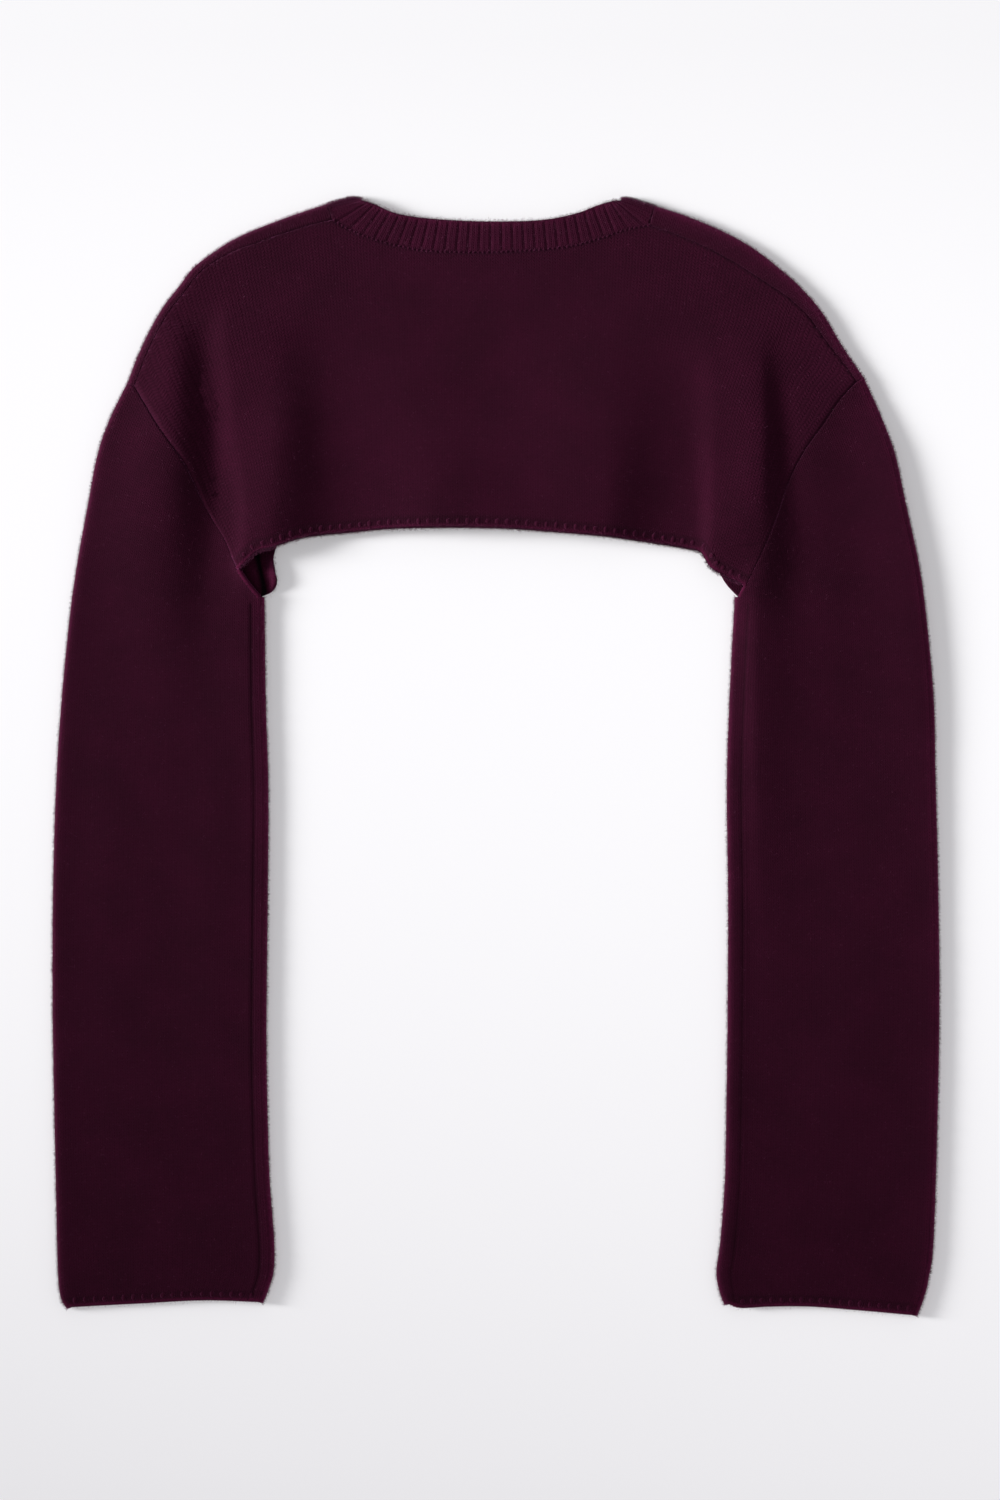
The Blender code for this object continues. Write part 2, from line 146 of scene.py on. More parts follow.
# Each side's edges, as places (out from the centre line, up from the garment's middle). The line
# beyond the underarm only sets how the sleeve's courses turn there.
LEFT = Side(
    name="left",
    sign=-1,
    shoulder=((104, 431), (123, 426.5), (151, 417.5), (177, 408), (198, 399), (214, 389.5), (232, 376),
              (243, 362), (258, 342), (272.5, 314), (283.5, 286.5)),
    outer=((283.5, 286.5), (297, 259), (306.5, 231), (313.5, 194), (322, 148), (328, 105), (334, 43),
           (338, -18), (340.5, -95), (341, -188), (339.5, -280), (337.5, -373), (336.5, -403),
           (334.5, -417), (330, -425)),
    inner=((178, 122), (177, 43), (175, -26), (175.5, -111), (176.5, -211), (175.5, -280), (174, -326),
           (170.5, -373), (171, -396), (175, -410.5), (179, -420.5)),
    beyond=((178, 122), (172, 160), (160, 192), (146, 214)),
    cuff=((330, -425), (273.5, -422), (224, -419.5), (179, -420.5)),
    armhole=((259.5, 254), (239.5, 224.5), (223.5, 191), (208.5, 166.5), (199.5, 146.5), (189.5, 131)),
    corner=0.86,
    seam_inset=((0, 13.0), (0.13, 11.3), (0.27, 10.6), (0.36, 8.6), (0.45, 6.8), (0.6, 6.2), (1, 6.2)),
    neck_free=((104, 431), (93, 423.5), (74, 416), (43, 412), (4, 410.5)),
    neck_base=((111, 403.5), (97, 398), (74, 391.5), (51, 388), (4, 387)),
)
RIGHT = Side(
    name="right",
    sign=1,
    shoulder=((97, 431), (110, 426.5), (139.5, 417.5), (164, 408), (183, 399), (199, 389.5), (216.5, 376),
              (232.5, 362), (250, 342), (267, 314), (283, 290.5)),
    outer=((283, 290.5), (297, 259), (307, 231), (315, 194), (325, 148), (331, 105), (336.5, 43),
           (338, -18), (340, -95), (341, -188), (339.5, -280), (336.5, -373), (332.5, -403),
           (329, -417), (324, -430.5)),
    inner=((183.5, 122), (179.5, 43), (177.5, -26), (178.5, -111), (178, -211), (177, -280), (176, -326),
           (172.5, -373), (169.5, -396), (171.5, -410.5), (175.5, -422)),
    beyond=((183.5, 122), (178, 160), (164, 194), (150, 216)),
    cuff=((324, -430.5), (282, -427), (242, -424), (208, -424), (185, -425), (175.5, -422)),
    armhole=((265, 274), (252, 255), (238, 235.5), (226.5, 213.5), (215, 181.5), (203.5, 155), (193.5, 134)),
    corner=0.95,
    seam_inset=((0, 15.8), (0.2, 16.6), (0.4, 17.0), (0.58, 13.1), (0.68, 10.8), (0.78, 9.6), (0.91, 6.8),
                (1, 6.2)),
    neck_free=((97, 431), (80, 423.5), (61, 416.5), (34, 411.5)),
    neck_base=((98.5, 404), (78, 397), (49.5, 390.5)),
)
SIDES = (LEFT, RIGHT)

# Edges that cross the centre line, as places (across, up)
BACK_HEM = ((-183.5, 156.5), (-171.5, 160), (-147, 168), (-112.5, 172), (-74, 175), (-4.5, 175), (39, 172.5),
            (93, 167.5), (150, 159), (160, 154), (164, 146.5), (172.5, 140))
FRONT_HEM = ((-172.5, 127), (-168.5, 134), (-170, 142), (-171, 154), (-162.5, 169.5), (-128, 177),
             (-74, 181), (-4.5, 180), (80, 174), (141.5, 165.5), (160, 160), (169.5, 146.5),
             (174, 138), (178.5, 131))
FRONT_NECK_FREE = ((-85.5, 397), (-51, 369), (-4, 359), (43, 369), (78, 397))
FRONT_NECK_BASE = ((-112.5, 386), (-70, 348), (-4, 335), (62.5, 348), (104.5, 386))

# Folds of the upper layer from the shoulders down. Each row is a place in the picture, how many
# millimetres the cloth rises there, and how many pixels the fold reaches to the west and to the east.
FOLD_ORIGIN = (*CENTRE_PIXEL, 0, 0, 0)
FOLD_SCALE = (PIXEL, -PIXEL, 1, PIXEL, PIXEL)
FOLD_SPREAD = 3
FOLDS = {
    "left_cap": (
        (176, 318, 0.0, 16, 18), (176, 340, 4.5, 24, 22), (176, 370, 6.6, 30, 26),
        (175, 400, 7.8, 34, 30), (173, 430, 8.4, 42, 35), (169, 460, 8.6, 50, 40),
        (164, 495, 8.4, 54, 44), (160, 530, 7.6, 52, 45), (160, 565, 5.6, 48, 44),
        (164, 600, 4.0, 46, 40), (166, 640, 2.2, 44, 36), (166, 700, 1.2, 42, 32),
        (166, 780, 0.6, 40, 34), (166, 900, 0.0, 40, 34)),
    "left_valley": (
        (200, 330, 0.0, 18, 10), (202, 360, -1.2, 18, 10), (207, 400, -2.4, 20, 11),
        (211, 440, -3.2, 22, 12), (213, 480, -3.4, 24, 13), (212, 520, -3.4, 24, 14),
        (209, 560, -2.6, 24, 16), (205, 610, -1.4, 24, 18), (198, 680, 0.0, 20, 18)),
    "left_ridge": (
        (229, 300, 0.0, 14, 60), (229, 325, 3.0, 14, 60), (230, 345, 4.2, 15, 56),
        (233, 370, 4.1, 13, 44), (236, 400, 3.8, 12, 30), (239, 430, 3.5, 13, 26),
        (244, 460, 3.8, 13, 24), (249, 490, 4.7, 13, 24), (250, 530, 5.4, 12, 26),
        (247, 556, 4.8, 11, 22), (246, 580, 2.6, 12, 14), (246, 610, 0.8, 14, 12),
        (245, 660, 0.7, 16, 12), (247, 720, 0.4, 16, 12), (249, 800, 0.0, 16, 12)),
    "left_plateau": (
        (276, 310, 0.0, 36, 34), (277, 345, 2.2, 36, 36), (280, 380, 4.8, 32, 35),
        (281, 415, 7.2, 30, 34), (279, 450, 8.6, 30, 34), (281, 485, 8.8, 28, 36),
        (280, 520, 8.4, 27, 38), (280, 550, 7.4, 26, 38)),
    "middle_left": (
        (412, 330, 0.0, 50, 56), (414, 370, 2.0, 50, 56), (424, 410, 3.2, 50, 60),
        (432, 445, 4.4, 50, 66), (438, 480, 6.6, 50, 74), (442, 530, 8.8, 52, 84)),
    "middle_right": (
        (606, 300, 0.0, 80, 50), (607, 340, 2.2, 84, 50), (607, 380, 4.6, 90, 50),
        (606, 420, 6.6, 92, 48), (604, 450, 8.0, 92, 47), (603, 480, 9.2, 92, 46),
        (598, 535, 9.4, 90, 44)),
    "right_ridge": (
        (706, 318, 0.0, 28, 60), (710, 345, 2.0, 26, 54), (716, 372, 3.2, 22, 44),
        (718, 400, 4.2, 20, 36), (716, 430, 4.4, 16, 32), (715, 460, 4.5, 14, 32),
        (715, 495, 4.8, 12, 34), (713, 530, 5.4, 10, 34), (712, 552, 5.2, 9, 30),
        (722, 575, 3.8, 9, 24), (736, 592, 2.0, 9, 18), (740, 612, 0.0, 9, 18)),
    "right_mid": (
        (757, 330, 0.0, 32, 16), (757, 355, 2.2, 32, 15), (758, 380, 4.2, 31, 14),
        (759, 400, 5.6, 31, 14), (760, 430, 7.2, 31, 15), (760, 460, 8.2, 31, 16),
        (758, 500, 8.8, 34, 20), (757, 540, 9.2, 45, 29), (757, 570, 8.0, 27, 27),
        (756, 600, 6.2, 20, 31), (756, 640, 4.8, 15, 35), (756, 700, 3.6, 13, 32),
        (757, 760, 2.8, 13, 28), (760, 850, 1.6, 13, 26), (766, 950, 0.8, 13, 26),
        (766, 1050, 0.0, 13, 26)),
    "right_slope": (
        (765, 540, 0.0, 20, 90), (762, 590, 1.6, 18, 100), (757, 640, 2.4, 14, 106),
        (757, 720, 1.8, 13, 100), (757, 820, 0.8, 13, 90), (760, 920, 0.0, 13, 80)),
    "right_head": (
        (800, 370, 0.0, 14, 36), (801, 420, 1.4, 14, 34), (810, 480, 1.6, 20, 34),
        (820, 540, 1.5, 26, 34), (824, 620, 1.2, 30, 34), (826, 720, 0.0, 30, 34)),
    "right_edge": (
        (868, 400, 0.0, 26, 26), (884, 450, 2.0, 30, 28), (896, 500, 2.8, 34, 30),
        (903, 560, 3.0, 34, 30), (908, 620, 2.8, 34, 30), (914, 700, 2.0, 34, 30),
        (918, 780, 1.0, 34, 30), (920, 900, 0.0, 34, 30)),
    "left_sleeve_band": (
        (214, 700, 0.0, 20, 22), (214, 800, 0.6, 20, 22), (210, 950, 0.5, 22, 22),
        (208, 1100, 0.0, 24, 24)),
    "left_sleeve_swell": (
        (112, 640, 0.0, 24, 26), (110, 740, 0.7, 24, 28), (108, 860, 0.8, 24, 30),
        (108, 1020, 0.5, 26, 30), (110, 1160, 0.0, 26, 30)),
    "right_sleeve_swell": (
        (850, 900, 0.0, 30, 34), (852, 1000, 0.6, 30, 34), (850, 1120, 0.5, 34, 34),
        (848, 1240, 0.0, 34, 34)),
    # The sleeve's rolled edge at the left underarm, which stands up beside the front's corner
    "left_rim": (
        (240, 548, 0.0, 8, 6), (242, 562, 1.6, 8, 6), (250, 575, 2.2, 8, 6),
        (259, 588, 2.2, 8, 6), (266, 602, 1.2, 8, 6), (268, 616, 0.0, 8, 6)),
}
# The front's corner beside the left underarm, which curls up on both sides of a narrow crease
FRONT_FOLDS = {
    "left_gusset": (
        (251, 548, 3.4, 14, 5), (252, 562, 3.8, 12, 4.5), (256, 576, 3.6, 10, 4),
        (261, 590, 2.4, 8, 3.5), (264, 600, 1.0, 6, 3)),
    "left_flap": (
        (271, 546, 3.6, 5.5, 9), (273, 560, 4.8, 5, 9), (275, 574, 5.0, 5, 9),
        (276, 586, 4.0, 5.5, 9), (272, 597, 2.4, 6, 9)),
}

# How the neckband's ribs lean: pairs of places across, on its free edge and on its base
RIB_FEET = ((-93, -112), (-80, -92), (-58, -65), (-35, -38), (0, 0), (50, 53), (72, 80), (86, 97))

# Seam down each sleeve, beside its inner edge
SLEEVE_SEAM_INSET = 7.3
SLEEVE_SEAM_DEPTH = 0.6
SLEEVE_SEAM_LIP = 0.25
# Painted shade in the groove of the sleeve's seam
SLEEVE_SEAM_SHADE = 0.5

# Edgings knitted in at the hem and the cuffs: a cord, and upright stitches in a strip beside it. The strip is
# darkened with painted shade, and the cord and the stitches are lightened with painted highlights.
CORD_SIZE = (1.9, 1.3)
CORD_INSET = 1.4
CORD_STEP = 1.2
CORD_SIDES = 8
CORD_SWELL = 0.12
CORD_FLOOR = 0.02
CORD_HIGHLIGHT = 1.8
TONGUE_PITCH = 7.5
TONGUE_SIZE = (1.8, 2.2, 0.5)
TONGUE_INSET = 4.8
TONGUE_HIGHLIGHT = 0.35
TUCK_BAND = (3.0, 8.4)
TUCK_MARGIN = 1.0
TUCK_FADE = 1.5
TUCK_SHADE = 0.45

# The edge stitches and the stitches that link the neckband are small beads
BEAD_SIDES = 8
BEAD_RINGS = 5
BEAD_SPREAD = (0.75, 1.15)
BEAD_SEED = 7
LINK_PITCH = 3.6
LINK_SIZE = (1.35, 0.95, 0.8)
LINK_SINK = 0.15

# Painted highlight at rolled edges, for the light that the brushed nap catches there. It is stronger where an
# edge faces east, away from the key light. The whole neckband is also made a little lighter.
RIM_HIGHLIGHT = 1.9
RIM_HIGHLIGHT_EAST = 8.0
RIM_HIGHLIGHT_EAST_START = -0.2
RIM_HIGHLIGHT_EAST_REACH = 0.9
RIM_HIGHLIGHT_REACH = 2.1
HEM_HIGHLIGHT = 0.6
BAND_LIGHTENING = 0.3
LEAST_OFFSET = 0.1

# Dark lines of painted shade where the cloth sinks into seams. They fade between two places across on the
# left, and between two places along Y towards the underarms.
SEAM_LINE_SHADE = 0.5
SEAM_LINE_REACH = 1.6
SOFT_SEAM = (-165.0, -205.0)
SOFT_SEAM_SHARE = 0.4
SEAM_FADE = (175.0, 235.0)
FADED_SEAM_SHARE = 0.2

# Painted shade in the crease beside the left underarm, and painted light on the curled cloth around it
CREASE = ((256, 548), (258, 562), (261, 576), (264, 590), (265, 597))
CREASE_SHADE = 2.6
CREASE_REACH = 2.3
CREASE_DARKEST = 1.35
FLAP_PAINTED_LIGHT = 0.7
FLAP_PLACE = (264, 572)
FLAP_REACH = 26.0

# Loose fibres: how many stand at edges and on the face of one large piece, and how far they tilt and
# how much of their rise they keep at edges and on the face
EDGE_FIBRES = 18000
FACE_FIBRES = 8000
LESS_FUZZ = 0.4
BODY_FUZZ_SEED = 3
SLEEVE_FUZZ_SEED = 5
FIBRE_LENGTH = (1.2, 3.0)
FIBRE_WIDTH = 0.16
FIBRE_TILT = (0.6, 3.0)
FIBRE_RISE = (0.7, 0.3)
FIBRE_JITTER = 0.7
FIBRE_ROOT = 0.2
FIBRE_BEND = 0.35
FIBRE_MIDDLE = 0.55
FIBRE_TAPER = 0.7
FIBRE_HEIGHTS = (0.1, 18.2)
FACE_FACING = 0.75
EDGE_FIBRE_LEVEL = 2.0
SEAM_CLEARANCE = 3.5

# Wool: its colours, then each noise as its scale, detail and roughness. The darkest colour is painted shade
# in the grooves between the stitches.
DARK = (0.0138, 0.00085, 0.0052, 1)
WOOL = (0.0190, 0.00125, 0.0071, 1)
LIGHT = (0.0480, 0.0048, 0.0200, 1)
STRAY_NOISE = (90.0, 3.0, 0.6)
FIBRE_NOISE = (1100.0, 4.0, 0.75)
CLOUD_NOISE = (26.0, 4.0, 0.6)
STRAY = 0.5
LEG_POWER = 0.7
LEG_BASE = 0.35
STITCH_LIT = (0.05, 0.75)
FLECKS = (0.42, 0.72)
FLECK_SHARE = 0.55
CLOUDS = (0.3, 0.7, 0.86, 1.12)
# How strongly the painted shade and highlight kept on the points darken or lighten the wool
PAINTED_SHADE_STRENGTH = 0.7
WOOL_ROUGHNESS = (0.82, 1.0)
BUMP_DISTANCE = 0.0003
WOOL_SHINE = {"Specular IOR Level": 0.05, "Sheen Weight": 0.34, "Sheen Roughness": 0.38,
              "Sheen Tint": (0.85, 0.22, 0.55, 1)}
LOOSE_NOISE = (300.0, 3.0, 0.6)
# The fibres' paler colours are painted light, for light shining through the thin fibres
LOOSE_COLOURS = ((0.06, 0.010, 0.030, 1), (0.12, 0.022, 0.065, 1))
LOOSE_SHINE = {"Roughness": 0.7, "Specular IOR Level": 0.2}

# The pale surface. Its shades belong to its two ends, below the cuffs and above the neck.
FLOOR_SIZE = 6.0
FLOOR_NOISE = (400.0, 3.0, 0.6)
FLOOR_COLOURS = ((0.985, 0.98, 1.0, 1), (1.0, 0.995, 1.0, 1))
FLOOR_ENDS = (-0.55, 0.55)
FLOOR_SHADES = (0.76, 0.52)
FLOOR_SHINE = {"Emission Color": (1.0, 0.99, 1.0, 1), "Emission Strength": 0.27, "Roughness": 0.9,
               "Specular IOR Level": 0.1}

# The camera's lens and sensor in millimetres, then the light's places and sizes in metres, and its
# spread in degrees
LENS = 90.0
SENSOR = 36.0
FARTHEST = 20.0
KEY_TARGET = (0.02, 0.52, 0.0)
KEY_FROM = (-0.94, 0.07, 0.345)
KEY_DISTANCE = 5.0
KEY_SIZE = (1.7, 2.9)
KEY_SPREAD = 26.0
KEY_ENERGY = 41.0
SKY = (0.43, 0.425, 0.445, 1)


# Curves

def lengths_along(line):
    """Each point's distance from the start of its line."""
    return np.concatenate([[0.0], np.cumsum(np.linalg.norm(np.diff(line, axis=0), axis=1))])


def length_of(line):
    """The whole length of a line."""
    return float(np.linalg.norm(np.diff(line, axis=0), axis=1).sum())


def shares_of(line):
    """Each point's share of a line's length."""
    return lengths_along(line) / length_of(line)


def at_distances(rows, lengths, distances):
    """What rows of values along a line are at the distances."""
    return np.column_stack([np.interp(distances, lengths, values) for values in rows.T])


def along(line, shares):
    """Points at the given shares of a line's length."""
    lengths = lengths_along(line)
    return at_distances(line, lengths, np.asarray(shares) * lengths[-1])


def bow(line, shares):
    """How far a line bows off the straight one between its ends, at shares of its length."""
    return along(line, shares) - (line[0] + (line[-1] - line[0]) * shares[:, None])


def unit(vectors):
    """The vectors with a length of one."""
    return vectors / np.maximum(np.linalg.norm(vectors, axis=-1, keepdims=True), TINY)


def smooth(places):
    """A dense line along a smooth curve through the places."""
    knots = np.array(places, dtype=float)
    padded = np.vstack([2 * knots[0] - knots[1], knots, 2 * knots[-1] - knots[-2]])
    t = np.linspace(0, 1, CURVE_STEPS, endpoint=False)[:, None]
    stretches = []
    for before, start, end, after in zip(padded, padded[1:], padded[2:], padded[3:]):
        linear = (end - before) * t
        square = (2 * before - 5 * start + 4 * end - after) * t**2
        cube = (3 * start - before - 3 * end + after) * t**3
        stretches.append(start + (linear + square + cube) / 2)
    return np.vstack(stretches + [knots[-1:]])


def evenly(line, step):
    """The line's points at even steps."""
    return along(line, np.linspace(0, 1, int(length_of(line) / step) + 2))


def mirrored(side, points):
    """Places given outwards from the centre line, as X and Y."""
    return np.asarray(points, dtype=float) * (side.sign, 1)


def inward(line):
    """Unit directions square to a line that runs from the neck down, towards the cloth on its inner side."""
    run = unit(np.gradient(line, axis=0))
    return np.column_stack([run[:, 1], -run[:, 0]])


class FoldLine:
    """The middle line of the fold along an edge, which the upper and lower layers turn around."""

    def __init__(self, edge, towards):
        self.inwards = inward(edge) * towards
        self.line = edge + self.inwards * FOLD_INSET
        self.lengths = lengths_along(edge)

    def at(self, distances):
        """Places on the fold line and its inward directions, by distance along the edge."""
        places, inwards = (at_distances(rows, self.lengths, distances) for rows in (self.line, self.inwards))
        return places, unit(inwards)


def outer_fold(side):
    """The fold line from the neck over the shoulder and down the sleeve."""
    edge = mirrored(side, np.vstack([smooth(side.shoulder)[:-1], smooth(side.outer)]))
    return FoldLine(edge, side.sign)


def inner_fold(side):
    """The fold line along the sleeve's inner edge."""
    return FoldLine(mirrored(side, smooth(side.inner)), -side.sign)


def tree_of(places):
    """A search tree for the nearest of the places."""
    tree = kdtree.KDTree(len(places))
    for number, place in enumerate(places):
        tree.insert((*place, 0.0), number)
    tree.balance()
    return tree


def distances_to(tree, places):
    """Each place's distance from the nearest one in a search tree."""
    return np.array([tree.find((*place, 0.0))[2] for place in places])


OUTER_FOLDS = {side.name: outer_fold(side) for side in SIDES}
INNER_FOLDS = {side.name: inner_fold(side) for side in SIDES}
SHOULDER_LENGTHS = {side.name: length_of(smooth(side.shoulder)) for side in SIDES}
FOLD_TREE = tree_of(np.vstack([
    evenly(fold.line, PATH_STEP) for fold in (*OUTER_FOLDS.values(), *INNER_FOLDS.values())]))


# Levels of the two layers

def fold_rise(places, folds):
    """How much the folds lift or sink the cloth at each place."""
    rise = np.zeros(len(places))
    for rows in folds.values():
        path = evenly(smooth((np.array(rows) - FOLD_ORIGIN) * FOLD_SCALE), 2 * PATH_STEP)
        reach = FOLD_SPREAD * path[:, 3:].max()
        low, high = path[:, :2].min(axis=0) - reach, path[:, :2].max(axis=0) + reach
        near = np.flatnonzero(((places > low) & (places < high)).all(axis=1))
        if not len(near):
            continue
        away = places[near, None] - path[None, :, :2]
        nearest = (away**2).sum(axis=2).argmin(axis=1)
        offset = away[np.arange(len(near)), nearest]
        run = np.gradient(path[:, :2], axis=0)[nearest]
        east = np.column_stack([-run[:, 1], run[:, 0]]) * np.sign(-run[:, 1:])
        is_east = (offset * east).sum(axis=1) > 0
        width = np.where(is_east, path[nearest, 4], path[nearest, 3])
        rise[near] += path[nearest, 2] * np.exp(-(np.linalg.norm(offset, axis=1) / width) ** 2)
    return rise


def upper_level(places):
    """Height of the middle of the upper layer, which rises to its folded edges."""
    off = distances_to(FOLD_TREE, places)
    lying = LOWER + CLOTH + REST_GAP
    at_edge = LOWER + 2 * FOLD_RADIUS
    level = lying + (at_edge - lying) * np.exp(-((off / EDGE_REACH) ** 2)) + fold_rise(places, FOLDS)
    least = LOWER + CLOTH + LEAST_GAP
    return least + SOFTENING * np.logaddexp(0, (level - least) / SOFTENING)


def on_top(places):
    """Points in the middle of the upper layer."""
    return np.column_stack([places, upper_level(places)])


def below(places):
    """Points in the middle of the lower layer, with the front's curled corner."""
    return np.column_stack([places, LOWER + fold_rise(places, FRONT_FOLDS)])


def below_flat(places):
    """Points in the middle of the lower layer where it lies flat."""
    return np.column_stack([places, np.full(len(places), LOWER)])


def laid(places, layer):
    """A grid of places as points of one layer."""
    rows, columns = places.shape[:2]
    return layer(places.reshape(-1, 2)).reshape(rows, columns, 3)


def turn(places, inwards):
    """Rows of points around a folded edge, from the upper layer to the lower one."""
    top = upper_level(places)
    radius = (top - LOWER) / 2
    rows = []
    for angle in np.linspace(math.pi, 0, TURN_STEPS + 1):
        plan = places - inwards * FOLD_RADIUS * math.sin(angle)
        rows.append(np.column_stack([plan, LOWER + radius - radius * math.cos(angle)]))
    return np.array(rows)


# Seams shared by two pieces

def shoulder_distances(side):
    """Steps along the shoulder's edge, from the armhole to the neckband."""
    start = SHOULDER_LENGTHS[side.name]
    return np.linspace(start, BAND_AT_FOLD, int((start - BAND_AT_FOLD) / LIP_STEP))


def shoulder_seam(side):
    """The shoulder seam on the upper layer, from the armhole to the neckband."""
    distances = shoulder_distances(side)
    places, inwards = OUTER_FOLDS[side.name].at(distances)
    shares = (distances - BAND_AT_FOLD) / (SHOULDER_LENGTHS[side.name] - BAND_AT_FOLD)
    table = smooth(side.seam_inset)
    inset = np.interp(shares, table[:, 0], table[:, 1]) - FOLD_INSET
    return places + inwards * inset[:, None]


def armhole_seam(side):
    """The armhole seam from the shoulder seam down to the underarm."""
    underarm = INNER_FOLDS[side.name].at([0.0])[0]
    return smooth([shoulder_seam(side)[0], *mirrored(side, side.armhole), *underarm])


def armhole_below(side):
    """The armhole seam on the lower layer, from the outer fold to the underarm."""
    place = OUTER_FOLDS[side.name].at([SHOULDER_LENGTHS[side.name]])[0]
    return np.vstack([place, armhole_seam(side)[CURVE_STEPS // 2:]])


def neck_base_on_top():
    """The neckband's base on the back, from left to right."""
    left = mirrored(LEFT, LEFT.neck_base)
    right = mirrored(RIGHT, RIGHT.neck_base)[::-1]
    return smooth([shoulder_seam(LEFT)[-1], *left, *right, shoulder_seam(RIGHT)[-1]])


def band_fold(side, share):
    """The neckband's fold at the shoulder, by its share from the free edge to the base."""
    return OUTER_FOLDS[side.name].at([BAND_AT_FOLD * share])


def neck_curve_below(middle, share):
    """A line of the front neck, between its places in the middle and the two folds."""
    return smooth([*band_fold(LEFT, share)[0], *middle, *band_fold(RIGHT, share)[0]])


def band_top(share):
    """One line of the neckband's upper half: its free edge at share 0, its base at share 1."""
    left, right = band_fold(LEFT, share)[0], band_fold(RIGHT, share)[0]
    if share:
        return np.vstack([left, neck_base_on_top(), right])
    middle = [*mirrored(LEFT, LEFT.neck_free[1:]), *mirrored(RIGHT, RIGHT.neck_free[1:])[::-1]]
    return smooth([*left, *middle, *right])


# Cloth walls

def split_faces(ids):
    """The four-sided and three-sided faces of a grid of point numbers, where some points may coincide."""
    a, b, c, d = (part.ravel() for part in (ids[:-1, :-1], ids[:-1, 1:], ids[1:, 1:], ids[1:, :-1]))
    same = np.array([a == b, b == c, c == d, d == a])
    folded = (a == c) | (b == d)
    whole = (same.sum(axis=0) == 0) & ~folded
    quads = np.column_stack([a, b, c, d])[whole]
    corner = (same.sum(axis=0) == 1) & ~folded
    triangles = np.column_stack([
        a, np.where(same[0], c, b), np.where(same[0] | same[1], d, c)])[corner]
    return quads, triangles


def directed_edges(quads, triangles):
    """Every face's edges in its own direction, as rows (start, end)."""
    return np.vstack([np.column_stack([faces[:, i], faces[:, (i + 1) % faces.shape[1]]])
                      for faces in (quads, triangles) for i in range(faces.shape[1])])


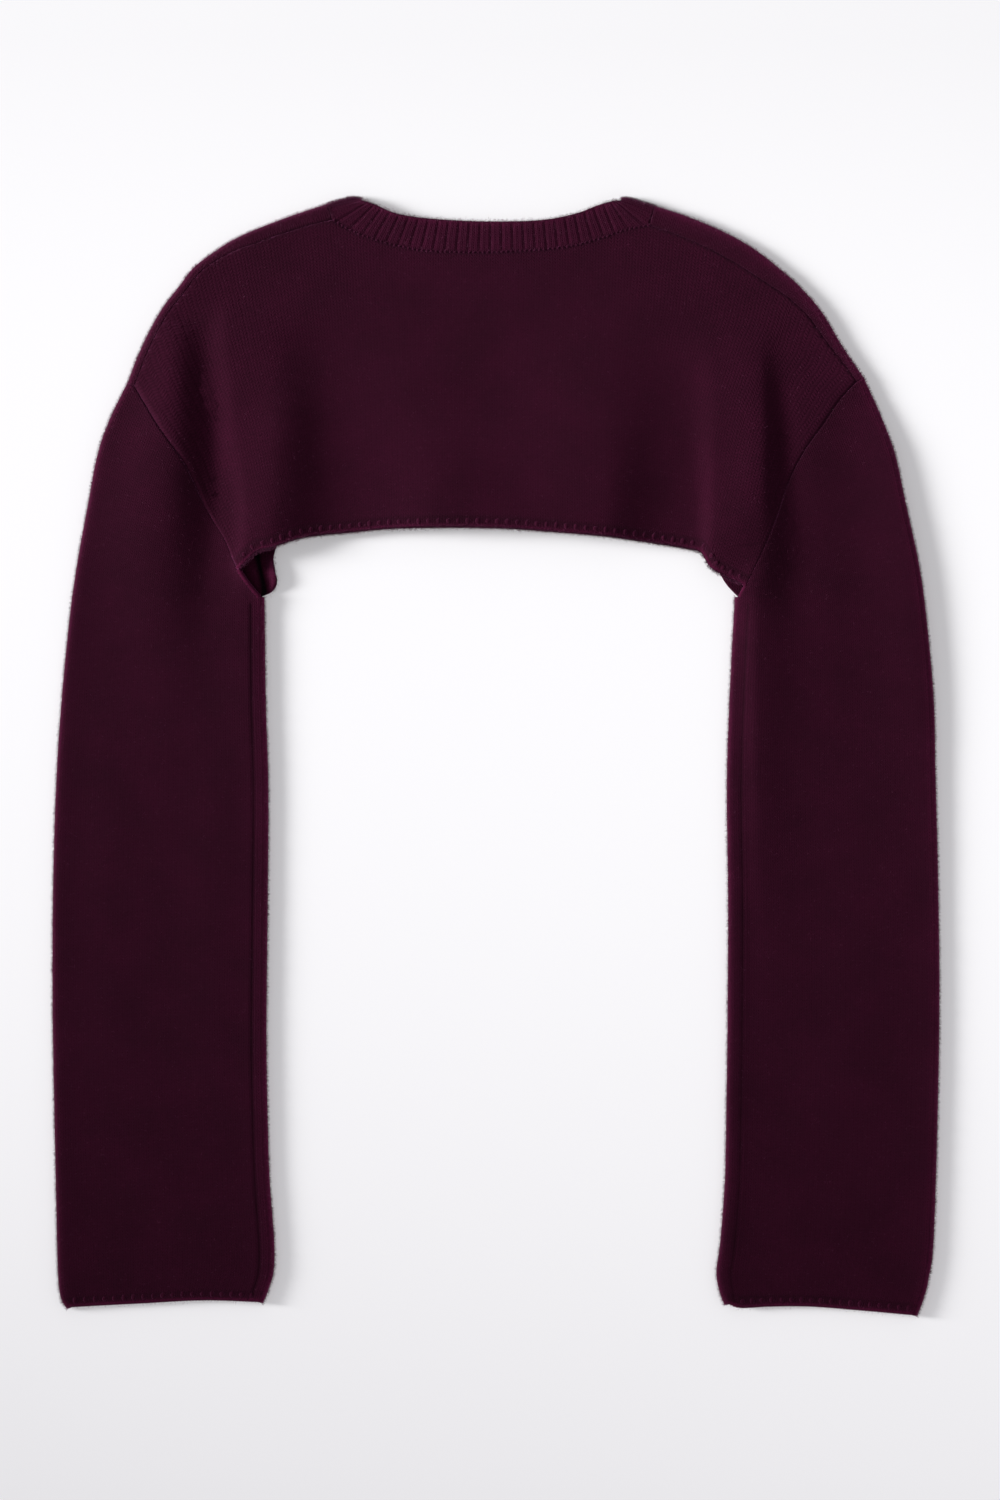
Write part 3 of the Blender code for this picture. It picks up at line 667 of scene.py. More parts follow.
class Shell:
    """A cloth wall: a fine outer face with its stitches, and a coarser plain inner face."""

    def __init__(self):
        self.parts = []
        self.grids = []
        self.count = 0

    def add(self, points, knit, relief=None, mask=None, plain_rows=PLAIN_ROWS, plain_columns=PLAIN_COLUMNS):
        """Adds a grid of middle points, with its stitch coordinates, how far it stands out, and its painted
        shade and highlight.
        """
        rows, columns = points.shape[:2]
        relief, mask = (np.zeros((rows, columns)) if values is None else values for values in (relief, mask))
        whole = np.concatenate([points, relief[..., None], knit, mask[..., None]], axis=2)
        self.parts.append(whole.reshape(rows * columns, -1))
        numbers = np.arange(rows * columns).reshape(rows, columns) + self.count
        steps = [np.unique(np.append(np.arange(0, size, step), size - 1))
                 for size, step in ((rows, plain_rows), (columns, plain_columns))]
        self.grids.append((numbers, *steps))
        self.count += rows * columns

    def merged(self):
        """The distinct points with their values, and each grid as numbers of those points."""
        values = np.vstack(self.parts)
        keys = np.round(values[:, :3] / SAME_POINT).astype(np.int64)
        _, first, places = np.unique(keys, axis=0, return_index=True, return_inverse=True)
        places = places.ravel()
        return values[first], [(places[numbers], rows, columns) for numbers, rows, columns in self.grids]

    def build(self, name, material, flip, rim_drop=RIM_DROP):
        """The wall as an object: its outer face, its coarser inner face, and the rims that close it."""
        values, grids = self.merged()
        if flip:
            grids = [(ids[:, ::-1], rows, (ids.shape[1] - 1 - columns)[::-1]) for ids, rows, columns in grids]
        points, relief, knit, mask = values[:, :3], values[:, 3], values[:, 4:6], values[:, 6]
        parts = [split_faces(ids) for ids, _, _ in grids]
        quads, triangles = (np.vstack(group) for group in zip(*parts))
        edges = directed_edges(quads, triangles)
        count = len(points)
        codes = edges[:, 0] * count + edges[:, 1]
        rims = edges[~np.isin(codes, edges[:, 1] * count + edges[:, 0])]
        normals = self.normals(points, quads, triangles)
        points = self.inset(points, normals, rims)
        at_rim = np.unique(rims)
        half = np.full(count, CLOTH / 2)
        upward = at_rim[normals[at_rim, 2] > RIM_FACING]
        half[upward] -= rim_drop * seam_depth(points[upward, 1])
        relief[at_rim] = 0.0
        outer = points + normals * (half + relief)[:, None]
        outer[:, 2] = np.maximum(outer[:, 2], 0.0)
        inner = points - normals * (CLOTH / 2)

        plain, plain_of = self.plain(grids, count)
        used = np.flatnonzero(plain_of == np.arange(count))
        place = np.full(count, -1)
        place[used] = np.arange(len(used)) + count
        plain_quads, plain_triangles = (np.vstack(group) for group in zip(*plain))
        start, end = rims[:, 0], rims[:, 1]
        near, far = place[plain_of[start]], place[plain_of[end]]
        rim_quads = np.column_stack([end, start, near, far])[near != far]
        rim_triangles = np.column_stack([end, start, near])[near == far]
        faces = [
            *quads.tolist(), *place[plain_quads][:, ::-1].tolist(), *rim_quads.tolist(),
            *triangles.tolist(), *place[plain_triangles][:, ::-1].tolist(), *rim_triangles.tolist()]
        piece = make_object(name, np.vstack([outer, inner[used]]), faces, material)
        store(piece, "knit", np.vstack([knit, knit[used]]))
        # The seam attribute holds each point's painted shade and painted highlight, not only at seams.
        store(piece, "seam", np.concatenate([mask, mask[used]]))
        self.surface = (outer, normals, at_rim)
        return piece

    @staticmethod
    def normals(points, quads, triangles):
        """Each point's direction out of the cloth, from the faces around it."""
        totals = np.zeros_like(points)
        for faces, (a, b, c, d) in ((quads, (0, 2, 1, 3)), (triangles, (0, 1, 0, 2))):
            corners = points[faces]
            cross = np.cross(corners[:, b] - corners[:, a], corners[:, d] - corners[:, c])
            for corner in faces.T:
                for axis in range(3):
                    totals[:, axis] += np.bincount(corner, cross[:, axis], len(points))
        return unit(totals)

    @staticmethod
    def inset(points, normals, rims):
        """Moves the rim out by half a seam's overlap, square to it and within the cloth."""
        moves = np.zeros_like(points)
        run = points[rims[:, 1]] - points[rims[:, 0]]
        for corner in rims.T:
            np.add.at(moves, corner, unit(np.cross(normals[corner], run)))
        return points - unit(moves) * (SEAM_OVERLAP / 2)

    @staticmethod
    def plain(grids, count):
        """The inner face's coarser grids, and for each point of a grid's edge the coarse point it joins."""
        faces = []
        plain_of = np.full(count, -1)
        coarse = []
        for ids, rows, columns in grids:
            faces.append(split_faces(ids[np.ix_(rows, columns)]))
            coarse.append(ids[np.ix_(rows, columns)].ravel())
            row_of = rows[np.searchsorted(rows, np.arange(ids.shape[0]), side="right") - 1]
            column_of = columns[np.searchsorted(columns, np.arange(ids.shape[1]), side="right") - 1]
            for edge in (0, -1):
                plain_of[ids[edge]] = ids[edge, column_of]
                plain_of[ids[:, edge]] = ids[row_of, edge]
        coarse = np.unique(np.concatenate(coarse))
        plain_of[coarse] = coarse
        return faces, plain_of


def store(piece, name, values):
    """Keeps values on the points of a piece, for its material."""
    kind = "FLOAT" if values.ndim == 1 else "FLOAT2"
    key = "value" if values.ndim == 1 else "vector"
    attribute = piece.data.attributes.new(name, kind, "POINT")
    attribute.data.foreach_set(key, values.astype(np.float32).ravel())


def make_object(name, points, faces, material):
    """One named, smoothly shaded object, in metres, which rides on the garment's body."""
    mesh = bpy.data.meshes.new(name)
    mesh.from_pydata((points * METRES).tolist(), [], faces)
    mesh.shade_smooth()
    mesh.materials.append(material)
    piece = bpy.data.objects.new(name, mesh)
    bpy.context.scene.collection.objects.link(piece)
    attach(piece, "root")
    return piece


def fade(distance, reach):
    """Rises smoothly from 0 at no distance to 1 at the reach."""
    share = np.clip(distance / reach, 0, 1)
    return share * share * (3 - 2 * share)


def stitches(rows, columns, strength):
    """How far a stitch grid stands out: crests and grooves by turns, and a groove between wales."""
    crest = np.where(np.arange(rows) % 2 == 0, 1.0, -1.0)[:, None] * STITCH_RELIEF
    groove = np.where(np.arange(columns) % 2 == 0, WALE_GROOVE, 0.0)[None, :]
    return (crest - groove) * strength


def lean(columns):
    """How many courses each mesh column is shifted by, so that the stitches form a V."""
    return np.where(np.arange(columns) % 2 == 0, SLANT, 0.0)


def tuck_shade(distance):
    """Painted shade between the edge stitches, by its distance from a free edge."""
    start, end = TUCK_BAND
    return (TUCK_SHADE * fade(distance - start + TUCK_MARGIN, TUCK_FADE)
            * fade(end + TUCK_MARGIN - distance, TUCK_FADE))


def painted_rim_highlight(distance, towards=0.0):
    """A painted highlight at a rolled edge, for the light that the brushed nap catches there, as a shade
    below nothing, by the distance from the outline.

    It is stronger where the edge faces away from the light, by how far it faces east.
    """
    glow = RIM_HIGHLIGHT + (RIM_HIGHLIGHT_EAST - RIM_HIGHLIGHT) * fade(towards - RIM_HIGHLIGHT_EAST_START, RIM_HIGHLIGHT_EAST_REACH)
    return -glow * np.exp(-distance / RIM_HIGHLIGHT_REACH)


def rim_highlight_on_top(places):
    """The painted rim highlight at a grid of places on the upper layer."""
    flat = places.reshape(-1, 2)
    found = [FOLD_TREE.find((*place, 0.0)) for place in flat]
    off = np.array([distance for _, _, distance in found])
    east = np.array([nearest[0] for nearest, _, _ in found]) - flat[:, 0]
    return painted_rim_highlight(FOLD_INSET + off, east / np.maximum(off, LEAST_OFFSET)).reshape(places.shape[:2])


def rim_highlight_on_turn(inwards):
    """The painted rim highlight along a folded edge and around it, from the upper layer to the lower one."""
    around = FOLD_INSET * (1 - np.sin(np.linspace(0, math.pi, TURN_STEPS + 1)))
    return painted_rim_highlight(around[None], -inwards[:, :1])


def painted_seam_shade(distance, across=0.0):
    """Painted shade where the cloth sinks into a seam, by its distance. Far left it hardly sinks in."""
    start, end = SOFT_SEAM
    strength = 1 - (1 - SOFT_SEAM_SHARE) * fade(start - across, start - end)
    return SEAM_LINE_SHADE * strength * np.exp(-((distance / SEAM_LINE_REACH) ** 2))


def seam_depth(height):
    """How deep the cloth sinks into a seam, as a share. It fades to the underarms and the hem."""
    faded, full = SEAM_FADE
    upper = 1 - (1 - FADED_SEAM_SHARE) * fade(full - height, full - faded)
    return np.where(height > 0, upper, 1.0)


def in_picture(points):
    """Places in the picture as places in millimetres."""
    return (np.array(points, dtype=float) - CENTRE_PIXEL) * (PIXEL, -PIXEL)


def flap_shade(places):
    """The front's corner beside the left underarm: painted shade in a narrow crease between curled parts
    lightened with painted light.
    """
    crease = seam_distance(places, smooth(in_picture(CREASE)))
    off = np.linalg.norm(places - in_picture(FLAP_PLACE), axis=2)
    dark = CREASE_SHADE * np.exp(-((crease / CREASE_REACH) ** 2))
    return np.minimum(dark - FLAP_PAINTED_LIGHT * np.exp(-((off / FLAP_REACH) ** 2)), CREASE_DARKEST)


# The garment's walls

def armhole_held(side):
    """The part of the armhole seam that holds the back, from the shoulder down."""
    return along(armhole_seam(side), np.linspace(0, side.corner, HELD_STEPS))


def back_hem_line():
    """The back's hem, between the lowest held places of the two armholes."""
    return smooth([armhole_held(LEFT)[-1], *BACK_HEM, armhole_held(RIGHT)[-1]])


def back_columns():
    """The places of the back's mesh columns on its top edge and on its hem."""
    top_line = np.vstack([shoulder_seam(LEFT)[:-1], neck_base_on_top(), shoulder_seam(RIGHT)[::-1][1:]])
    hem_line = back_hem_line()
    tops, hems = [], []
    for sign, last in ((-1, 0), (1, -1)):
        end, hem_end = sign * top_line[last, 0], sign * hem_line[last, 0]
        dense = np.linspace(0, end, FAN_STEPS)
        beyond = FAN_SOFTNESS * np.logaddexp(0, (dense - FAN_START) / FAN_SOFTNESS)
        pitch = BACK_WALE + (FAN_TOP_WALE - BACK_WALE) * fade(dense - FAN_START / 2, FAN_START)
        wales = np.concatenate([[0], np.cumsum(np.diff(dense) / pitch[1:])])
        count = 2 * int(round(wales[-1]))
        across = np.interp(np.linspace(0, wales[-1], count + 1), wales, dense)
        hem = np.interp(across, dense, dense - beyond * (end - hem_end) / beyond[-1])
        order = slice(None, 0, -1) if sign < 0 else slice(None)
        tops.append(sign * across[order])
        hems.append(sign * hem[order])
    return [np.column_stack([x, np.interp(x, line[:, 0], line[:, 1])])
            for x, line in ((np.concatenate(tops), top_line), (np.concatenate(hems), hem_line))]


def back_panel(material):
    """The upper body panel. Its mesh rows are courses, counted from the hem, and its columns are wales."""
    top, hem = back_columns()
    columns = len(top)
    lengths = np.linalg.norm(top - hem, axis=1)
    rows = int(lengths.max() / COURSE * 2) + 3
    courses = np.arange(rows)[:, None] / 2
    band = fade(courses * COURSE - EDGE_FADE, EDGE_FADE)
    height = (courses + lean(columns)[None] * band) * COURSE
    height[0] = 0.0
    share = 1 - np.minimum(height / lengths, 1)
    places = top + (hem - top) * share[..., None]
    across = np.linspace(0, 1, columns)
    for side, edge, weight in ((LEFT, 0, (1 - across) ** SIDE_PULL), (RIGHT, -1, across**SIDE_PULL)):
        bend = bow(armhole_held(side), share[:, edge])
        places += bend[:, None] * (weight[None] * (share > 0))[..., None]
    relief = stitches(rows, columns, band * fade(share * lengths, SEAM_FLATTENING))
    knit = np.stack(np.broadcast_arrays(np.arange(columns)[None] / 2, height / COURSE), axis=2)
    shell = Shell()
    # Painted shade between the hem's edge stitches and at the seams along the top, and a painted highlight
    # along the hem
    mask = tuck_shade(height) + painted_seam_shade(share * lengths, places[..., 0]) + painted_rim_highlight(height) * HEM_HIGHLIGHT
    shell.add(laid(places, on_top), knit, relief, mask)
    return shell, shell.build("back_shell", material, flip=False)


def sleeve_rows(side):
    """Distances of the mesh rows from the cuff, two to a course, and the row at the underarm."""
    inner_length = INNER_FOLDS[side.name].lengths[-1]
    outer_length = OUTER_FOLDS[side.name].lengths[-1] - SHOULDER_LENGTHS[side.name]
    up_to_underarm = 2 * int(round(inner_length / COURSE))
    step = inner_length / up_to_underarm
    beyond = int((outer_length - inner_length) / step)
    distances = np.append(np.arange(up_to_underarm + beyond + 1) * step, outer_length)
    return distances, up_to_underarm


def crossing(starts, ends, line):
    """The share of each row at which it crosses a line, or 1 if it doesn't."""
    shares = np.ones(len(starts))
    run = np.diff(line, axis=0)
    for number, (start, end) in enumerate(zip(starts, ends)):
        way = end - start
        cross = way[0] * run[:, 1] - way[1] * run[:, 0]
        cross[np.abs(cross) < TINY] = TINY
        off = line[:-1] - start
        on_row = (off[:, 0] * run[:, 1] - off[:, 1] * run[:, 0]) / cross
        on_line = (off[:, 0] * way[1] - off[:, 1] * way[0]) / cross
        hits = on_row[(on_line >= -CROSSING_SLACK) & (on_line <= 1 + CROSSING_SLACK) & (on_row > 0)]
        if len(hits):
            shares[number] = min(1.0, hits.min())
    return shares


def sleeve(side, material):
    """A long tube laid flat. Its mesh rows are courses, counted from the cuff and cut off by the armhole."""
    outer, inner = OUTER_FOLDS[side.name], INNER_FOLDS[side.name]
    distances, underarm = sleeve_rows(side)
    rows = len(distances)
    outer_places, outer_in = outer.at(outer.lengths[-1] - distances)
    inner_places, inner_in = inner.at(inner.lengths[-1] - distances[:underarm + 1])
    beyond = mirrored(side, smooth(side.beyond))
    beyond += inner_places[-1] - beyond[0]
    reach = (distances[underarm:] - distances[underarm]) / (distances[-1] - distances[underarm])
    far_places = np.vstack([inner_places, along(beyond, reach)[1:]])
    top_seam, under_seam = armhole_seam(side), armhole_below(side)

    columns = 2 * int(round(np.linalg.norm(outer_places[0] - inner_places[0]) / SLEEVE_WALE)) + 1
    cuff = mirrored(side, smooth(side.cuff))
    upper, shift = sleeve_layer(outer_places, far_places, top_seam, cuff, underarm, distances, lean(columns))
    at_cuff = fade(distances - EDGE_FADE, EDGE_FADE)[:, None]
    off_seam = seam_distance(upper, top_seam)
    relief = stitches(rows, columns, at_cuff * fade(off_seam, SEAM_FLATTENING))
    # Painted shade between the cuff's edge stitches and at the armhole seam, and painted highlights along the
    # cuff and at the folded edges
    at_hem = tuck_shade(distances) + painted_rim_highlight(distances) * HEM_HIGHLIGHT
    at_seam = painted_seam_shade(off_seam, upper[..., 0]) * seam_depth(upper[..., 1])
    mask = at_hem[:, None] + at_seam + rim_highlight_on_top(upper)
    seam_share = 1 - SLEEVE_SEAM_INSET / np.linalg.norm(far_places - outer_places, axis=1)
    seam_column = int(round(float(np.median(seam_share)) * (columns - 1)))
    seam_rows = slice(underarm - HEAD_ROWS)
    # Painted shade in the groove of the sleeve's seam
    mask[seam_rows, seam_column] = SLEEVE_SEAM_SHADE
    relief[seam_rows, seam_column] = -SLEEVE_SEAM_DEPTH
    relief[seam_rows, seam_column - 1] += SLEEVE_SEAM_LIP
    wales = np.broadcast_to(np.arange(columns)[None] / 2, (rows, columns))
    knit = np.stack([wales, distances[:, None] / COURSE + shift / 2], axis=2)

    shell = Shell()
    top = laid(upper, on_top)
    shell.add(top, knit, relief, mask)
    under_places, _ = sleeve_layer(outer_places, far_places, under_seam, cuff, underarm, distances,
                                   np.zeros(UNDER_COLUMNS))
    under = laid(under_places, below_flat)
    around = math.pi * FOLD_RADIUS / SLEEVE_WALE
    half_tube = columns / 2
    turn_wales = np.linspace(0, around, TURN_STEPS + 1)
    for places, inwards, edge, way, start in ((outer_places, outer_in, 0, -1, 0),
                                              (inner_places, inner_in, -1, 1, half_tube)):
        count = len(places)
        bend = turn(places, inwards).transpose(1, 0, 2)
        bend[:, 0], bend[:, -1] = top[:count, edge], under[:count, edge]
        turned = knit_grid((start + way * turn_wales)[::way], distances[:count])
        # Painted highlight around the folded edge
        shell.add(bend[:, ::way], turned, mask=rim_highlight_on_turn(inwards))
    under_wales = half_tube + around + np.linspace(0, half_tube, UNDER_COLUMNS)
    shell.add(under[:, ::-1], knit_grid(under_wales, distances), plain_columns=1)
    return shell, shell.build(f"sleeve_{side.name}_shell", material, flip=side.sign > 0)


def knit_grid(wales, distances, course=COURSE):
    """Stitch coordinates of a grid whose columns are given in wales and its rows in distances."""
    return np.stack(np.meshgrid(wales, distances / course), axis=2)


def seam_distance(places, seam):
    """Each grid place's distance from a seam."""
    tree = tree_of(evenly(seam, PATH_STEP))
    return distances_to(tree, places.reshape(-1, 2)).reshape(places.shape[:2])


def sleeve_layer(starts, ends, seam, cuff, underarm, distances, shifts):
    """Places of one layer's mesh, and how many rows each is shifted by. The armhole cuts the rows off."""
    columns = np.arange(len(shifts))
    shares = np.linspace(0, 1, len(columns))
    limit = np.ones(len(starts))
    limit[underarm:] = crossing(starts[underarm:], ends[underarm:], seam)
    limit[underarm] = 1.0
    clipped = np.minimum(shares[None], limit[:, None])
    straight = starts[:, None] + (ends - starts)[:, None] * clipped[..., None]
    fading = np.maximum(0, 1 - distances / CUFF_BOW_REACH)[:, None, None] ** 2
    places = straight + bow(cuff, shares)[None] * fading
    step = np.gradient(places, axis=0)
    shift = shifts * 2 * fade(distances - EDGE_FADE, EDGE_FADE)[:, None]
    free = (shares[None] < limit[:, None] - HEAD_MARGIN) | (np.arange(len(starts)) < underarm - 1)[:, None]
    inside = (columns > 0) & (columns < len(columns) - 1)
    shift = shift * free * inside[None]
    shift[-HEAD_ROWS:] = 0
    return places + step * shift[..., None], shift


def patch(top, bottom, left, right):
    """A smooth grid of places between four edges, with its rows running from left to right."""
    bottom = along(bottom, shares_of(top))
    u = shares_of(top)[None, :, None]
    v = shares_of(left)[:, None, None]
    edges = (1 - v) * top[None] + v * bottom[None] + (1 - u) * left[:, None] + u * right[:, None]
    corners = ((1 - v) * ((1 - u) * top[0] + u * top[-1]) + v * ((1 - u) * bottom[0] + u * bottom[-1]))
    return edges - corners


def shoulder_lip(side):
    """The front's strip over the shoulder, from the seam on top around the edge to the lower layer."""
    seam = shoulder_seam(side)
    places, inwards = OUTER_FOLDS[side.name].at(shoulder_distances(side))
    flat = [seam + (places - seam) * share for share in np.linspace(0, 1, LIP_ROWS + 1)[:-1]]
    on_the_top = np.array([on_top(row) for row in flat])
    return np.concatenate([on_the_top, turn(places, inwards)])


def front_panel(material):
    """The lower body panel, which lies flat and wraps over the shoulders to the seams on top."""
    neck = along(neck_curve_below(FRONT_NECK_BASE, 1.0), np.linspace(0, 1, NECK_STEPS))
    lips = {side.name: shoulder_lip(side) for side in SIDES}
    coarse, fine = FRONT_ROWS
    start = 1 - FRONT_FINE_SHARE
    shares = np.append(np.linspace(0, start, coarse, endpoint=False), np.linspace(start, 1, fine))
    left, right = (along(armhole_below(side), shares) for side in SIDES)
    top = np.vstack([lips["left"][-1, :-1, :2], neck, lips["right"][-1, ::-1, :2][1:]])
    bottom = smooth([left[-1], *FRONT_HEM, right[-1]])
    shell = Shell()
    panel = laid(patch(top, bottom, left, right), below)
    panel[0, :, 2] = LOWER
    # The front's corner gets painted shade in its crease and painted light around it
    shell.add(panel, panel[..., :2] / (BACK_WALE, COURSE), mask=flap_shade(panel[..., :2]),
              plain_rows=1, plain_columns=1)
    for side, lip in zip(SIDES, (lips["left"], lips["right"][:, ::-1])):
        columns = lip.shape[1]
        run = np.linspace(0, SHOULDER_LENGTHS[side.name], columns)
        knit = knit_grid(run / BACK_WALE, lengths_along(lip[:, columns // 2]))
        inwards = OUTER_FOLDS[side.name].at(shoulder_distances(side))[1][::-side.sign]
        # Painted highlight at the folded edge over the shoulder, and painted shade at the seam
        light = np.vstack([rim_highlight_on_top(lip[:-TURN_STEPS - 1, :, :2]), rim_highlight_on_turn(inwards).T])
        shade = light + painted_seam_shade(np.linalg.norm(lip - lip[:1], axis=2), lip[..., 0])
        shell.add(lip, knit, mask=shade, plain_rows=2, plain_columns=1)
    return shell, shell.build("front_shell", material, flip=False)


def rib_lines(base, free):
    """Shares along the band's base and free edge for each mesh column, with evenly wide ribs in between."""
    feet = np.array(RIB_FEET, dtype=float)
    at_free = np.concatenate([[0], np.interp(feet[:, 0], free[:, 0], shares_of(free)), [1]])
    at_base = np.concatenate([[0], np.interp(feet[:, 1], base[:, 0], shares_of(base)), [1]])
    pairs = smooth(np.column_stack([at_free, at_base]))
    middle = (along(free, pairs[:, 0]) + along(base, pairs[:, 1])) / 2
    ribs = int(round(length_of(middle) / RIB_PITCH))
    even = np.linspace(0, 1, ribs * RIB_COLUMNS + 1)
    run = shares_of(middle)
    return ribs, np.interp(even, run, pairs[:, 1]), np.interp(even, run, pairs[:, 0])


def neckband(material):
    """The ribbed ring around the neck, folded at both shoulders, with its deeper front half below."""
    base_line, free_line = band_top(1.0), band_top(0.0)
    ribs, base_shares, free_shares = rib_lines(base_line, free_line)
    base_top, free_top = along(base_line, base_shares), along(free_line, free_shares)
    under_shares = np.linspace(0, 1, 2 * ribs + 1)
    base_below = along(neck_curve_below(FRONT_NECK_BASE, 1.0), under_shares)
    free_below = along(neck_curve_below(FRONT_NECK_FREE, 0.0), under_shares)
    rows = []
    for share in np.linspace(0, 1, BAND_ROWS + 1):
        turns = [turn(*band_fold(side, share))[:, 0] for side in SIDES]
        top = on_top(free_top + (base_top - free_top) * share)
        under = below_flat(free_below + (base_below - free_below) * share)
        rows.append(np.vstack([top[:-1], turns[1], under[::-1][1:-1], turns[0][:0:-1], top[:1]]))
    grid = np.array(rows)
    for side in SIDES:
        place, inwards = band_fold(side, 0.0)
        off = np.linalg.norm(grid[..., :2] - (place - inwards * FOLD_INSET), axis=2)
        grid[..., 1] -= CORNER_ROUNDING * np.exp(-((off / CORNER_REACH) ** 2))
    height, count = grid.shape[:2]
    top_count = len(base_top)
    back_wales = ribs * RIB_WALES
    other_wales = (count - top_count) / 2
    wales = np.concatenate([np.linspace(0, back_wales, top_count)[:-1],
                            back_wales + np.linspace(0, other_wales, count - top_count + 1)]) + 0.5
    band = np.linspace(0, 1, height)
    rib = (np.arange(top_count) % RIB_COLUMNS) / RIB_COLUMNS
    ridge = fade(np.minimum(rib, 1 - rib) - RIB_VALLEY, RIB_SLOPE)
    split = 1 - RIB_SPLIT * np.exp(-(((rib - 0.5) / RIB_SPLIT_REACH) ** 2))
    strength = fade(np.minimum(band, 1 - band), BAND_FADE)[:, None]
    relief = np.zeros((height, count))
    relief[:, :top_count] = ((ridge * split * RIB_RELIEF)[None] - RIB_SINK) * strength
    # Painted shade in the rib valleys and at the band's base seam, a painted highlight at its folded free
    # edge, and the whole band made a little lighter
    mask = np.zeros((height, count))
    mask[:, :top_count] = (1 - ridge)[None] * strength * RIB_SHADE
    edges = painted_rim_highlight(band * BAND_AT_FOLD) * BAND_HIGHLIGHT, painted_seam_shade((1 - band) * BAND_AT_FOLD)
    mask += edges[0][:, None] + edges[1][:, None] - BAND_LIGHTENING
    shell = Shell()
    shell.add(grid, knit_grid(wales, band * BAND_AT_FOLD, BAND_COURSE), relief, mask,
              plain_rows=BAND_PLAIN_ROWS, plain_columns=RIB_COLUMNS // 2)
    return shell, shell.build("neckband_shell", material, flip=True, rim_drop=BAND_RIM_DROP)


# Edgings and fibres

def frames(line):
    """Unit directions along a line of points, and square to it in plan towards its left."""
    run = unit(np.gradient(line, axis=0))
    return run, unit(np.column_stack([-run[:, 1], run[:, 0], np.zeros(len(run))]))


def cord(line):
    """Points and faces of a thin knitted cord along a line of points, and its painted highlight."""
    line = along(line, np.linspace(0, 1, int(length_of(line) / CORD_STEP)))
    run, side = frames(line)
    up = np.cross(run, side)
    swell = 1 + CORD_SWELL * np.cos(np.arange(len(line)) * math.pi)
    angles = np.linspace(0, 2 * math.pi, CORD_SIDES, endpoint=False)[None, :, None]
    wide, high = CORD_SIZE
    ring = side[:, None] * wide * np.cos(angles) + up[:, None] * high * np.sin(angles)
    points = (line[:, None] + ring * swell[:, None, None]).reshape(-1, 3)
    number = np.arange(len(line) * CORD_SIDES).reshape(-1, CORD_SIDES)
    after = np.roll(number, -1, axis=1)
    faces = np.stack([number[:-1], after[:-1], after[1:], number[1:]], axis=2).reshape(-1, 4).tolist()
    faces += [number[0][::-1].tolist(), number[-1].tolist()]
    points[:, 2] = np.maximum(points[:, 2], CORD_FLOOR)
    return points, faces, -CORD_HIGHLIGHT


def beads(centres, across, lengthwise, sizes):
    """Points and faces of many small rounded stitches, each with its own directions and an uneven size."""
    axes = np.stack([across, lengthwise, np.cross(across, lengthwise)], axis=1)
    angles = np.linspace(0, 2 * math.pi, BEAD_SIDES, endpoint=False)
    heights = np.linspace(-math.pi / 2, math.pi / 2, BEAD_RINGS + 2)[1:-1]
    template = [(math.cos(height) * math.cos(angle), math.sin(height), math.cos(height) * math.sin(angle))
                for height in heights for angle in angles]
    template = np.array(template + [(0, -1, 0), (0, 1, 0)]) * sizes
    uneven = np.random.default_rng(BEAD_SEED).uniform(*BEAD_SPREAD, size=(len(centres), 3))
    points = centres[:, None] + np.einsum("pk,nkd->npd", template, axes * uneven[..., None])
    number = np.arange(BEAD_RINGS * BEAD_SIDES).reshape(BEAD_RINGS, BEAD_SIDES)
    after = np.roll(number, -1, axis=1)
    faces = np.stack([number[:-1], number[1:], after[1:], after[:-1]], axis=2).reshape(-1, 4).tolist()
    south, north = number.size, number.size + 1
    faces += [[int(a), int(b), south] for a, b in zip(number[0], after[0])]
    faces += [[int(b), int(a), north] for a, b in zip(number[-1], after[-1])]
    all_faces = [[corner + len(template) * copy for corner in face]
                 for copy in range(len(centres)) for face in faces]
    return points.reshape(-1, 3), all_faces


def joined(name, parts, material):
    """One object of several lots of points and faces, each with its shade value, which for the edgings is a
    painted highlight.
    """
    points, faces, shades, count = [], [], [], 0
    for some, theirs, shade in parts:
        points.append(some)
        faces += [[corner + count for corner in face] for face in theirs]
        shades.append(np.full(len(some), shade))
        count += len(some)
    piece = make_object(name, np.vstack(points), faces, material)
    # The seam attribute holds these painted highlights.
    store(piece, "seam", np.concatenate(shades))
    return piece


def tongues(line, inwards_left):
    """The upright edge stitches beside a free edge, given as a line of places."""
    count = int(length_of(line) / TONGUE_PITCH)
    places = along(line, (np.arange(count) + 0.5) * TONGUE_PITCH / length_of(line))
    edge = on_top(places)
    run, side = frames(edge)
    towards = side if inwards_left else -side
    centres = on_top(places + towards[:, :2] * TONGUE_INSET)
    lengthwise = unit(centres - edge)
    across = unit(run - lengthwise * (run * lengthwise).sum(axis=1)[:, None])
    up = np.cross(across, lengthwise)
    sign = np.sign(up[:, 2])[:, None]
    # The edge stitches get a painted highlight, as a shade below nothing.
    return *beads(centres + up * sign * (CLOTH / 2), across * sign, lengthwise, TONGUE_SIZE), -TONGUE_HIGHLIGHT


def edging(name, material, lines, tongue_lines):
    """One object with a cord along each line and edge stitches beside each tongue line."""
    return joined(name, [*map(cord, lines), *(tongues(*line) for line in tongue_lines)], material)


